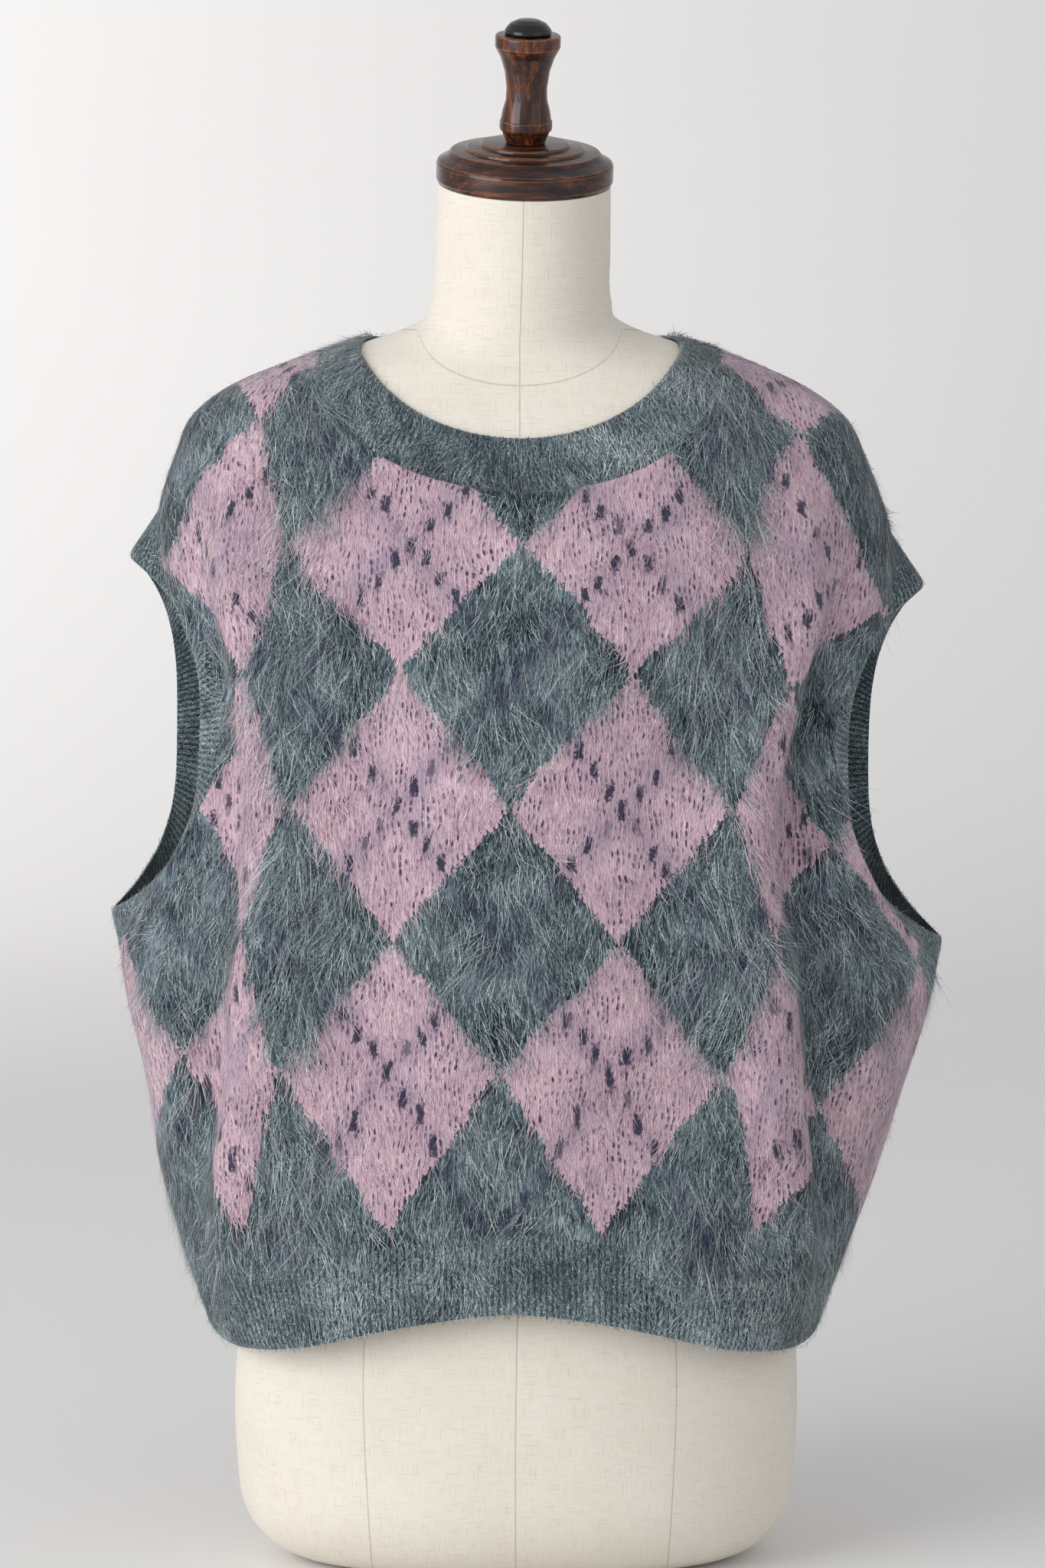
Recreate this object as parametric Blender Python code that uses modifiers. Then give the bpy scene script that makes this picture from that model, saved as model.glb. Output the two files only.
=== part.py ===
"""A knitted sweater vest on a limbless dress form.

Metres, +Z up. The front faces -Y and the form stands on its flat underside at z = 0.

The vest is first worked out as one net of points, the inner face of the knit: a front and a
back that share their shoulder and side seams, and the bands round the neck and the armholes.
Each knitted piece is then taken from that net, half a seam gap inside its seams, and given
its thickness outwards. Ribs are raised in the outer face only.
"""

import bmesh
import bpy
import numpy as np
from mathutils import Vector
from mathutils.bvhtree import BVHTree

# ---------------------------------------------------------------- driving sizes
SEAM_GAP = 0.0003  # between two pieces that meet
KNIT = 0.003  # thickness of the brushed knit
RIB_TROUGH = 0.002  # thickness of a rib band between two ribs
RIB_PITCH = 0.0068  # one raised rib for each pair of wales
HEM_RIB = 0.048  # height of the hem rib
REST_GAP = 0.0008  # least distance of the knit from the form it rests on
SEAM_Y = 0.006  # the shoulder and side seams lie in this plane
SLIP = 0.017  # how much lower the vest hangs on its +X side
SLIP_X = (0.02, 0.20)  # from here outwards it grows to this, and each pair below is the same:
SLIP_Z = (0.10, 0.30)  # up from the hem
SLIP_TOP_Z = (0.69, 0.60)  # down from the shoulder
REST_Z = (0.58, 0.70)  # the cloth comes down to lie on the form's shoulders
REST_X = (0.20, 0.10)

UNDERARM_Z = 0.362  # lowest point of the armhole, where the band is sewn on
SHOULDER_END_Z = 0.622  # highest point of the armhole
ARMHOLE_FRONT_ANGLE = 33.0  # how far the armhole reaches from the side round to the front
ARMHOLE_BACK_ANGLE = 29.0

NECK_HALF_WIDTH = 0.093  # free edge of the neckband
NECK_SIDE_Z = 0.7185
NECK_FRONT_DROP = 0.051
NECK_BACK_DROP = 0.005
NECK_FRONT_Y, NECK_BACK_Y = -0.074, 0.072
NECK_SEAM_FALL = 0.002  # its seam is lower than that at the sides
NECK_SEAM_REACH = 0.026  # and further out all round

ARM_EDGE_Z = 0.491  # middle of the armband's free edge
ARM_EDGE_HALF_HEIGHT = 0.103
ARM_EDGE_FRONT_Y, ARM_EDGE_BACK_Y = -0.058, 0.066
ARM_EDGE_FRONT_X, ARM_EDGE_BACK_X = 0.187, 0.209
ARM_EDGE_LOW_X, ARM_EDGE_HIGH_X = 0.244, 0.233
ARM_EDGE_POINT = 3.4  # how pointed its top and bottom are
ARMHOLE_POINT = 1.2  # and those of the seam that it is sewn to

COLUMN_BEND = 1.3  # above 1 the net's columns are closer at the centre and the sides
COLUMN_CROWD = 0.07  # above 0 they are closer half way, at the large folds
SQUEEZE = 1.2  # above 1 the columns make way for the armhole mostly beside it
GATHER_FROM = 0.45  # share of the height from which the columns turn towards the neck
GATHER_LAST = 6.0  # how much later the armhole's edge does
LEVEL_FROM = 0.6  # share of the width from which the rows run out level to the side
FOLD_FADE = 0.06  # how far a fold takes to come and go

HALF_COLUMNS = 17  # of the net, from the centre to a side
NECK_COLUMNS = 7  # of those, how many end at the neckband
SIDE_ROWS = 7  # up the side seam
LIFT_ROUNDS = 6  # of moving the net out until it clears the form
NORMAL_ROUNDS = 2  # of evening out the net's normals, so that pieces stay apart at seams
SHOULDER_LEVEL = 0.69  # above this the cloth faces upwards rather than sideways
ARMHOLE_ROWS = 12  # up the armhole

FORM_SIDES = 40
FORM_TURN = np.linspace(0, 2 * np.pi, FORM_SIDES, endpoint=False)  # from the front to +X
BASE_ROUND = 0.050  # radius of the form's lower edge
NECK_TOP = (0.0025, -0.012, 0.8135)  # middle of the neck's top
NECK_TOP_RADIUS = 0.0503
NECK_TILT = 14.0  # the neck is cut off leaning forward
NECK_LEAN = 1.4  # and a little towards +X
TURNED_SIDES = 40

# The form's sections. Each is a rounded oval about (x, y, z), leaning forward by tilt degrees.
FORM_SECTIONS = (
    # z,    x,       y,      tilt, half_width, front, back,  squareness
    (0.050, -0.0025, 0.000, 0.0, 0.1655, 0.104, 0.114, 2.3),
    (0.085, -0.0025, 0.000, 0.0, 0.1675, 0.104, 0.117, 2.3),
    (0.130, -0.0020, 0.000, 0.0, 0.1660, 0.101, 0.115, 2.3),
    (0.190, -0.0010, 0.000, 0.0, 0.1570, 0.097, 0.104, 2.3),
    (0.260, 0.0000, 0.000, 0.0, 0.1370, 0.090, 0.086, 2.25),
    (0.330, 0.0000, 0.000, 0.0, 0.1190, 0.083, 0.074, 2.2),
    (0.380, 0.0000, 0.000, 0.0, 0.1210, 0.088, 0.075, 2.2),
    (0.430, 0.0000, 0.000, 0.0, 0.1300, 0.103, 0.083, 2.2),
    (0.480, 0.0000, 0.000, 0.0, 0.1390, 0.119, 0.092, 2.2),
    (0.515, 0.0000, 0.001, 0.0, 0.1430, 0.121, 0.097, 2.2),
    (0.555, 0.0000, 0.002, 0.0, 0.1500, 0.109, 0.101, 2.2),
    (0.595, 0.0000, 0.003, 0.0, 0.1620, 0.093, 0.101, 2.25),
    (0.632, 0.0000, 0.004, 0.0, 0.1720, 0.080, 0.097, 2.3),
    (0.660, 0.0000, 0.005, 1.0, 0.1790, 0.071, 0.090, 2.3),
    (0.683, 0.0000, 0.006, 3.0, 0.1700, 0.063, 0.080, 2.3),
    (0.697, 0.0000, 0.006, 6.0, 0.1530, 0.057, 0.071, 2.3),
    (0.7065, 0.0000, 0.006, 9.0, 0.1320, 0.054, 0.065, 2.25),
    (0.7145, 0.0000, 0.006, 11.0, 0.1060, 0.052, 0.061, 2.2),
    (0.7225, 0.0000, 0.006, 13.0, 0.0780, 0.050, 0.058, 2.1),
    (0.732, 0.0000, 0.005, 14.0, 0.0585, 0.050, 0.056, 2.0),
    (0.746, 0.0005, 0.003, 14.5, 0.0530, 0.050, 0.053, 2.0),
    (0.775, 0.0015, -0.003, 14.0, 0.0513, 0.050, 0.051, 2.0),
)

# The vest's level sections, from the hem to the neck. Above SHOULDER_END_Z the half width
# follows the shoulder seam.
VEST_SECTIONS = (
    # z,    x,       half_width, front, back,  squareness
    (0.140, -0.0035, 0.177, 0.128, 0.134, 2.6),
    (0.190, -0.0042, 0.194, 0.133, 0.138, 2.45),
    (0.240, -0.0028, 0.2095, 0.138, 0.141, 2.3),
    (0.290, 0.0010, 0.2205, 0.141, 0.143, 2.2),
    (0.340, 0.0030, 0.2345, 0.143, 0.144, 2.15),
    (0.370, 0.0045, 0.239, 0.143, 0.144, 2.15),
    (0.420, 0.0020, 0.226, 0.142, 0.143, 2.15),
    (0.480, 0.0015, 0.216, 0.137, 0.141, 2.15),
    (0.540, 0.0025, 0.213, 0.124, 0.136, 2.2),
    (0.600, 0.0040, 0.214, 0.105, 0.126, 2.3),
    (0.622, 0.0030, 0.213, 0.098, 0.121, 2.3),
    (0.655, 0.0010, 0.201, 0.089, 0.112, 2.3),
    (0.679, -0.0010, 0.188, 0.081, 0.102, 2.3),
    (0.698, -0.0025, 0.161, 0.071, 0.090, 2.3),
    (0.7095, -0.0020, 0.134, 0.064, 0.079, 2.3),
    (0.7165, 0.0000, 0.118, 0.058, 0.071, 2.3),
)

# The hem's lower edge, by its share of the way from the centre to a side seam.
HEM_EDGE = (
    # share, front_z, back_z
    (0.00, 0.166, 0.147),
    (0.22, 0.159, 0.145),
    (0.45, 0.143, 0.141),
    (0.62, 0.138, 0.139),
    (0.80, 0.139, 0.140),
    (1.00, 0.143, 0.143),
)

# The largest folds, as soft ridges (+) and troughs (-) that run down the cloth. Their angles
# are measured round the sections from the centre, towards +X, at three heights.
FOLD_HEIGHTS = (0.15, 0.38, 0.60)
FRONT_FOLDS = (
    # low, middle, high angle, top_z, low_z, half_width_deg, depth
    (-58, -37, -50, 0.640, 0.200, 9.0, 0.012),
    (-78, -56, -66, 0.560, 0.210, 12.0, -0.012),
    (60, 35, 47, 0.620, 0.200, 8.0, 0.014),
    (80, 50, 64, 0.560, 0.210, 10.0, -0.013),
    (0, 0, 0, 0.280, 0.080, 15.0, -0.006),
    (-16, -20, -24, 0.560, 0.200, 9.0, -0.004),
    (14, 19, 26, 0.540, 0.200, 9.0, -0.005),
)
BACK_FOLDS = (
    (-55, -42, -46, 0.600, 0.190, 9.0, 0.010),
    (-74, -60, -62, 0.560, 0.210, 12.0, -0.010),
    (58, 40, 44, 0.610, 0.190, 9.0, 0.011),
    (76, 57, 60, 0.560, 0.210, 11.0, -0.011),
    (4, 2, 0, 0.420, 0.100, 14.0, -0.007),
)

# Turned profiles, from the top down the outer side to the underside.
CAP_PROFILE = (
    # radius, height
    (0.0000, 0.0235),
    (0.0252, 0.0235),
    (0.0260, 0.0228),
    (0.0262, 0.0214),
    (0.0338, 0.0212),
    (0.0346, 0.0205),
    (0.0348, 0.0191),
    (0.0432, 0.0188),
    (0.0440, 0.0180),
    (0.0458, 0.0158),
    (0.0485, 0.0142),
    (0.0508, 0.0130),
    (0.0516, 0.0112),
    (0.0516, 0.0022),
    (0.0502, 0.0000),
    (0.0000, 0.0000),
)
FINIAL_PROFILE = (
    (0.0000, 0.0630),
    (0.0180, 0.0630),
    (0.0189, 0.0624),
    (0.0190, 0.0610),
    (0.0190, 0.0560),
    (0.0182, 0.0545),
    (0.0158, 0.0500),
    (0.0132, 0.0420),
    (0.0118, 0.0320),
    (0.0121, 0.0250),
    (0.0139, 0.0185),
    (0.0149, 0.0140),
    (0.0148, 0.0082),
    (0.0138, 0.0066),
    (0.0117, 0.0046),
    (0.0120, 0.0000),
    (0.0000, 0.0000),
)
BUTTON_PROFILE = (
    (0.0000, 0.0090),
    (0.0060, 0.0083),
    (0.0104, 0.0063),
    (0.0130, 0.0034),
    (0.0136, 0.0022),
    (0.0137, 0.0012),
    (0.0133, 0.0000),
    (0.0000, 0.0000),
)


# ---------------------------------------------------------------- helpers
def read(table, keys):
    """The table's other columns at these keys, on smooth curves through its rows."""
    table = np.array(table, float)
    key, value = table[:, 0], table[:, 1:]
    slope = np.gradient(value, key, axis=0)
    keys = np.asarray(keys, float)
    row = np.clip(np.searchsorted(key, keys) - 1, 0, len(key) - 2)
    step = (key[row + 1] - key[row])[..., None]
    u = np.clip((keys - key[row])[..., None] / step, 0, 1)
    ends = (1 - u) ** 2 * (1 + 2 * u) * value[row] + u**2 * (3 - 2 * u) * value[row + 1]
    return ends + u * (1 - u) * step * ((1 - u) * slope[row] - u * slope[row + 1])


def ease(start, end, x):
    """0 up to start, 1 from end on, and smooth between. The end may be below the start."""
    u = np.clip((np.asarray(x, float) - start) / (end - start), 0, 1)
    return u * u * (3 - 2 * u)


def oval(angle, half_width, depth, squareness):
    """Across and outwards from a section's centre, at an angle in radians from the front."""
    power = 2 / squareness
    sine, cosine = np.sin(angle), np.cos(angle)
    return (
        half_width * np.sign(sine) * np.abs(sine) ** power,
        depth * np.abs(cosine) ** power,
    )


def coloured(name, hex_colour, roughness, metallic=0.0):
    """A plain material from an sRGB hex colour."""
    srgb = [int(hex_colour[i : i + 2], 16) / 255 for i in (0, 2, 4)]
    linear = [c / 12.92 if c <= 0.04045 else ((c + 0.055) / 1.055) ** 2.4 for c in srgb]
    material = bpy.data.materials.new(name)
    material.use_nodes = True
    shader = material.node_tree.nodes["Principled BSDF"]
    shader.inputs["Base Color"].default_value = (*linear, 1)
    shader.inputs["Roughness"].default_value = roughness
    shader.inputs["Metallic"].default_value = metallic
    return material


def mesh_object(name, points, faces, material, smooth_deg=30):
    """One closed body from its points and faces, with its faces turned outwards."""
    mesh = bpy.data.meshes.new(name)
    mesh.from_pydata([tuple(p) for p in points], [], faces)
    net = bmesh.new()
    net.from_mesh(mesh)
    bmesh.ops.recalc_face_normals(net, faces=net.faces)
    net.to_mesh(mesh)
    net.free()
    mesh.shade_smooth()
    mesh.set_sharp_from_angle(angle=np.radians(smooth_deg))
    mesh.materials.append(material)
    piece = bpy.data.objects.new(name, mesh)
    parts.objects.link(piece)
    return piece


# ---------------------------------------------------------------- dress form
def form_ring(z, x, y, tilt, half_width, front, back, squareness):
    """One section of the form, all round from the centre front towards +X."""
    depth = np.where(np.cos(FORM_TURN) >= 0, front, back)
    across, outwards = oval(FORM_TURN, half_width, depth, squareness)
    along_y = -np.sign(np.cos(FORM_TURN)) * outwards
    lean = np.radians(tilt)
    return np.stack(
        [x + across, y + along_y * np.cos(lean), z + along_y * np.sin(lean)], axis=1
    )


def form_rings():
    """The rounded lower edge, then the sections up to the top of the neck."""
    _, x, y, tilt, *sizes, squareness = FORM_SECTIONS[0]
    rings = []
    for angle in np.radians((0, 20, 38, 56, 73)):
        inset = BASE_ROUND * (1 - np.sin(angle))
        level = BASE_ROUND * (1 - np.cos(angle))
        rings.append(form_ring(level, x, y, tilt, *[s - inset for s in sizes], squareness))
    rings += [form_ring(*section) for section in FORM_SECTIONS]
    across, outwards = oval(FORM_TURN, NECK_TOP_RADIUS, NECK_TOP_RADIUS, 2)
    cut = [Vector((x, -y, 0)) for x, y in zip(across, np.sign(np.cos(FORM_TURN)) * outwards)]
    return rings + [[neck_top.matrix_basis @ point for point in cut]]


def build_form_body():
    rings = form_rings()
    count = FORM_SIDES
    faces = []
    for low in range(len(rings) - 1):
        for side in range(count):
            after = (side + 1) % count
            faces.append(
                (
                    low * count + side,
                    low * count + after,
                    (low + 1) * count + after,
                    (low + 1) * count + side,
                )
            )
    faces.append(tuple(range(count)))
    faces.append(tuple(range((len(rings) - 1) * count, len(rings) * count)))
    linen = coloured("linen", "DED8CB", 0.85)
    return mesh_object("form_body", np.concatenate(rings), faces, linen)


def turned(name, profile, height, material):
    """A piece turned on the neck's axis, standing at this height above the neck's top."""
    mesh = bpy.data.meshes.new(name)
    edges = [(i, i + 1) for i in range(len(profile) - 1)]
    mesh.from_pydata([(radius, 0, level) for radius, level in profile], edges, [])
    mesh.materials.append(material)
    piece = bpy.data.objects.new(name, mesh)
    parts.objects.link(piece)
    screw = piece.modifiers.new("turn", "SCREW")
    screw.steps = screw.render_steps = TURNED_SIDES
    screw.use_merge_vertices = True
    screw.merge_threshold = 0.00005
    screw.use_smooth_shade = True
    piece.parent = neck_top
    piece.location.z = height
    return piece


# ---------------------------------------------------------------- the vest's net
def column_places():
    """The columns' shares of the way from the centre to a side, closest at the folds."""
    even = np.arange(-HALF_COLUMNS, HALF_COLUMNS + 1) / HALF_COLUMNS
    return even + COLUMN_CROWD * np.sin(2 * np.pi * even)


def column_angle(share):
    """The angle round a section at this share of the way from its centre to a side."""
    near = np.abs(share) ** COLUMN_BEND
    far = (1 - np.abs(share)) ** COLUMN_BEND
    return np.pi / 2 * near / (near + far)


def column_share(angle):
    """The reverse of column_angle."""
    near = np.clip(angle / (np.pi / 2), 0, 1) ** (1 / COLUMN_BEND)
    far = (1 - np.clip(angle / (np.pi / 2), 0, 1)) ** (1 / COLUMN_BEND)
    return near / (near + far)


def fold_depth(folds, angle, z):
    """How far the folds move the cloth in or out."""
    moved = np.zeros(np.broadcast(angle, z).shape)
    for low_angle, middle, high, top, low, half_width, depth in folds:
        path = tuple(zip(FOLD_HEIGHTS, (low_angle, middle, high)))
        centre = read(path, z)[..., 0]
        across = np.exp(-(((np.degrees(angle) - centre) / half_width) ** 2))
        along = ease(low - FOLD_FADE, low + FOLD_FADE, z)
        along = along * ease(top + FOLD_FADE, top - FOLD_FADE, z)
        moved += depth * across * along
    return moved * (1 - np.abs(np.sin(angle)) ** 8)


def cloth(angle, z, side, folds):
    """Points of the cloth before it rests on the form. side is -1 in front, 1 behind."""
    middle, width, front, back, squareness = np.moveaxis(read(VEST_SECTIONS, z), -1, 0)
    across, outwards = oval(angle, width, front if side < 0 else back, squareness)
    moved = fold_depth(folds, angle, z)
    x = middle + across + moved * np.sin(angle)
    y = SEAM_Y + side * (outwards + moved * np.cos(angle))
    return slipped(np.stack([x, y, np.broadcast_to(z, x.shape)], axis=-1))


def slipped(points):
    """The points, lower on the +X side between the hem and the top of the shoulder."""
    x, _, z = np.moveaxis(points, -1, 0)
    lowered = points.copy()
    lowered[..., 2] -= SLIP * ease(*SLIP_X, x) * ease(*SLIP_Z, z) * ease(*SLIP_TOP_Z, z)
    return lowered


def neck_turn(share):
    """The angle round the neck at a column whose share runs to the neck's last column."""
    return np.pi / 2 * np.clip(share, -1, 1)


def shoulder_seam(share):
    """The seam's height at this share of the way from the neckband to the armhole."""
    level = np.linspace(VEST_SECTIONS[-1][0], SHOULDER_END_Z, 60)
    width = read(VEST_SECTIONS, level)[:, 1]
    run = np.concatenate([[0], np.cumsum(np.hypot(np.diff(width), np.diff(level)))])
    return np.interp(share, run / run[-1], level)


def panel_grid(side):
    """The net of one panel: rows from the hem rib to the top, columns from -X to +X."""
    front = side < 0
    share = column_places()
    size, turn = np.abs(share), np.sign(share)
    neck_share = np.abs(np.arange(-HALF_COLUMNS, HALF_COLUMNS + 1)) / NECK_COLUMNS

    low_z = read(HEM_EDGE, size)[:, 0 if front else 1] + HEM_RIB
    drop = NECK_FRONT_DROP if front else NECK_BACK_DROP
    fall = NECK_SEAM_FALL + (drop + NECK_SEAM_REACH) * np.cos(neck_turn(neck_share))
    band_z = NECK_SIDE_Z - fall
    seam_share = np.clip((neck_share - 1) / (HALF_COLUMNS / NECK_COLUMNS - 1), 0, 1)
    top_z = np.where(neck_share < 1, band_z, shoulder_seam(seam_share))

    rise = np.linspace(0, np.pi, ARMHOLE_ROWS + 1)[1:]
    middle = (UNDERARM_Z + SHOULDER_END_Z) / 2
    reach = (SHOULDER_END_Z - UNDERARM_Z) / 2
    side_z = np.concatenate(
        [
            np.linspace(low_z[-1], UNDERARM_Z, SIDE_ROWS + 1),
            middle - reach * np.cos(rise),
        ]
    )
    widest = np.radians(ARMHOLE_FRONT_ANGLE if front else ARMHOLE_BACK_ANGLE)
    bite = np.sin(rise[:-1]) ** ARMHOLE_POINT
    edge = np.pi / 2 - widest * np.concatenate([np.zeros(SIDE_ROWS + 1), bite, [0]])
    up = (side_z - side_z[0]) / (side_z[-1] - side_z[0])

    z = low_z + (top_z - low_z) * up[:, None]
    level = ease(LEVEL_FROM, 1, size) * (ease(0, 0.3, up) * ease(1, 0.85, up))[:, None]
    z = z + (side_z[:, None] - z) * level
    squeeze = 1 - (1 - column_share(edge)[:, None]) * size**SQUEEZE
    _, width, _, _, squareness = np.moveaxis(read(VEST_SECTIONS, z), -1, 0)
    across, _ = oval(column_angle(size * squeeze), width, 0, squareness)
    band_x = (NECK_HALF_WIDTH + NECK_SEAM_REACH) * np.sin(neck_turn(neck_share))
    top_x = np.where(neck_share < 1, band_x, read(VEST_SECTIONS, top_z)[:, 1])
    gather = ease(GATHER_FROM, 1, up)[:, None] ** (1 + GATHER_LAST * size**4)
    across = across + (top_x - across) * gather
    angle = np.arcsin(np.clip(across / width, 0, 1) ** (squareness / 2))
    grid = cloth(turn * angle, z, side, FRONT_FOLDS if front else BACK_FOLDS)

    close = ease(*REST_Z, grid[..., 2]) * ease(*REST_X, np.abs(grid[..., 0]))
    return rest_on_form(grid, close)


def rest_on_form(points, close):
    """Moves points out to the form's surface, and those that lie close to it onto it."""
    moved = points.copy()
    for place in np.ndindex(points.shape[:-1]):
        point = Vector(points[place])
        foot, normal, _, distance = form_surface.find_nearest(point)
        away = point - foot
        outside = away.dot(normal) > 0
        height = max(distance if outside else -distance, REST_GAP)
        height = REST_GAP + (height - REST_GAP) * (1 - close[place])
        direction = away.normalized() if outside and distance > 1e-5 else normal
        moved[place] = foot + direction * height
    return moved


def lift_off_form(grids):
    """Moves the grids' points out until the faces between them clear the form too."""
    for _ in range(LIFT_ROUNDS):
        lifts = {}
        for grid in grids:
            for row, column in np.ndindex(grid.shape[0] - 1, grid.shape[1] - 1):
                corners = grid[row : row + 2, column : column + 2].reshape(4, 3)
                for place in face_places() @ corners:
                    foot, normal, _, distance = form_surface.find_nearest(Vector(place))
                    inside = (Vector(place) - foot).dot(normal) < 0
                    short = REST_GAP + (distance if inside else -distance)
                    for key in map(point_key, corners):
                        if short > lifts.get(key, (0,))[0]:
                            lifts[key] = (short, np.array(normal))
        for grid in grids:
            for place in np.ndindex(grid.shape[:2]):
                short, normal = lifts.get(point_key(grid[place]), (0, 0))
                grid[place] = grid[place] + short * normal


def face_places():
    """Corner weights that spread points over a face, however it is split in two."""
    u, v = (steps.ravel() for steps in np.meshgrid(*[np.linspace(0, 1, 5)] * 2))
    spread = np.stack([(1 - u) * (1 - v), (1 - u) * v, u * (1 - v), u * v], axis=1)
    t, none = np.linspace(0, 1, 5), np.zeros(5)
    one = np.stack([1 - t, none, none, t], axis=1)
    other = np.stack([none, 1 - t, t, none], axis=1)
    return np.concatenate([spread, one, other])


def hem_rows(panel, side):
    """The hem rib's two rows: the free edge, and the panel's first row above it."""
    share = column_places()
    low_z = read(HEM_EDGE, np.abs(share))[:, 0 if side < 0 else 1]
    angle = np.sign(share) * column_angle(share)
    edge = cloth(angle, low_z, side, FRONT_FOLDS if side < 0 else BACK_FOLDS)
    return np.stack([edge, panel[0]])


def armband_rows(front, back, hand):
    """The armband's attached and free edges, round from the underarm up the front."""
    column = -1 if hand > 0 else 0
    attached = np.concatenate(
        [front[SIDE_ROWS:, column], back[-2:SIDE_ROWS:-1, column]]
    )
    turn = np.linspace(0, 2 * np.pi, 2 * ARMHOLE_ROWS, endpoint=False)
    before = np.sin(turn) >= 0
    middle = np.where(before, ARM_EDGE_FRONT_X, ARM_EDGE_BACK_X)
    end = np.where(np.cos(turn) > 0, ARM_EDGE_LOW_X, ARM_EDGE_HIGH_X)
    reach = np.where(before, ARM_EDGE_FRONT_Y, ARM_EDGE_BACK_Y)
    out = middle + (end - middle) * np.abs(np.cos(turn)) ** ARM_EDGE_POINT
    level = ARM_EDGE_Z - ARM_EDGE_HALF_HEIGHT * np.cos(turn)
    x = read(VEST_SECTIONS, level)[:, 0] + hand * out
    free = np.stack([x, SEAM_Y + reach * np.abs(np.sin(turn)), level], axis=1)
    return np.stack([attached, slipped(free)])


def neckband_rows(front, back):
    """The neckband's attached edge, its middle and its free edge, round from -X in front."""
    low, high = HALF_COLUMNS - NECK_COLUMNS, HALF_COLUMNS + NECK_COLUMNS
    attached = np.concatenate(
        [front[-1, low : high + 1], back[-1, high - 1 : low : -1]]
    )
    turn = np.linspace(-np.pi / 2, 3 * np.pi / 2, 4 * NECK_COLUMNS, endpoint=False)
    ahead = np.cos(turn) >= 0
    drop = np.where(ahead, NECK_FRONT_DROP, NECK_BACK_DROP)
    reach = np.where(ahead, NECK_FRONT_Y, NECK_BACK_Y)
    free = np.stack(
        [
            NECK_HALF_WIDTH * np.sin(turn),
            SEAM_Y + reach * np.abs(np.cos(turn)),
            NECK_SIDE_Z - drop * np.abs(np.cos(turn)),
        ],
        axis=1,
    )
    rows = np.stack([attached, (attached + free) / 2, free])
    return rest_on_form(rows, np.ones(rows.shape[:-1]))


def net_normals(grids, rings):
    """Each grid's point normals: outwards, evened out, and shared where grids meet."""
    faces = []
    for grid, ring in zip(grids, rings):
        wide = np.concatenate([grid, grid[:, :1]], axis=1) if ring else grid
        for row, column in np.ndindex(wide.shape[0] - 1, wide.shape[1] - 1):
            corners = wide[row : row + 2, column : column + 2].reshape(4, 3)
            cross = np.cross(corners[3] - corners[0], corners[2] - corners[1])
            away = corners.mean(axis=0) - (0, SEAM_Y, 0)
            away[2] = 0.1 if away[2] > SHOULDER_LEVEL else 0
            faces.append((cross * np.sign(cross @ away), [point_key(c) for c in corners]))
    sums = {}
    for cross, keys in faces:
        for key in keys:
            sums[key] = sums.get(key, 0) + cross
    for _ in range(NORMAL_ROUNDS):
        unit = {key: value / np.linalg.norm(value) for key, value in sums.items()}
        sums = {}
        for _, keys in faces:
            middle = sum(unit[key] for key in keys)
            for key in keys:
                sums[key] = sums.get(key, 0) + middle
    found = []
    for grid in grids:
        normals = np.array([[sums[point_key(p)] for p in row] for row in grid])
        found.append(normals / np.linalg.norm(normals, axis=-1, keepdims=True))
    return found


def point_key(point):
    return tuple(np.round(point, 6))


# ---------------------------------------------------------------- knitted pieces
def inset_seams(grid, ring, seams):
    """The grid with its sewn sides, such as "low" or "left", half a seam gap further in."""
    inset = grid.copy()
    half = SEAM_GAP / 2
    for name, axis, edge, inner in (
        ("low", 0, 0, 1),
        ("high", 0, -1, -2),
        ("left", 1, 0, 1),
        ("right", 1, -1, -2),
    ):
        if name not in seams:
            continue
        line = np.take(grid, edge, axis=axis)
        towards = np.take(grid, inner, axis=axis) - line
        if ring:
            along = np.roll(line, -1, axis=0) - np.roll(line, 1, axis=0)
        else:
            along = np.gradient(line, axis=0)
        along /= np.linalg.norm(along, axis=1, keepdims=True)
        towards -= along * np.sum(towards * along, axis=1, keepdims=True)
        towards /= np.linalg.norm(towards, axis=1, keepdims=True)
        if axis == 0:
            inset[edge] += half * towards
        else:
            inset[:, edge] += half * towards
    return inset


def rib_places(line):
    """The ribs and the troughs between them, in steps from one point of the line to the next."""
    places = []
    for step, length in enumerate(np.linalg.norm(np.diff(line, axis=0), axis=1)):
        count = 2 * max(1, round(length / RIB_PITCH))
        places += [step + part / count for part in range(count)]
    return np.array(places + [len(line) - 1])


def zipped(first, second, first_run, second_run):
    """Triangles between two lines of points that may have different counts."""
    first, second = first.tolist(), second.tolist()
    faces = []
    i = j = 0
    while i < len(first) - 1 or j < len(second) - 1:
        no_more = j == len(second) - 1
        if no_more or (i < len(first) - 1 and first_run[i + 1] <= second_run[j + 1]):
            faces.append((first[i], first[i + 1], second[j]))
            i += 1
        else:
            faces.append((first[i], second[j + 1], second[j]))
            j += 1
    return faces


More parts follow.
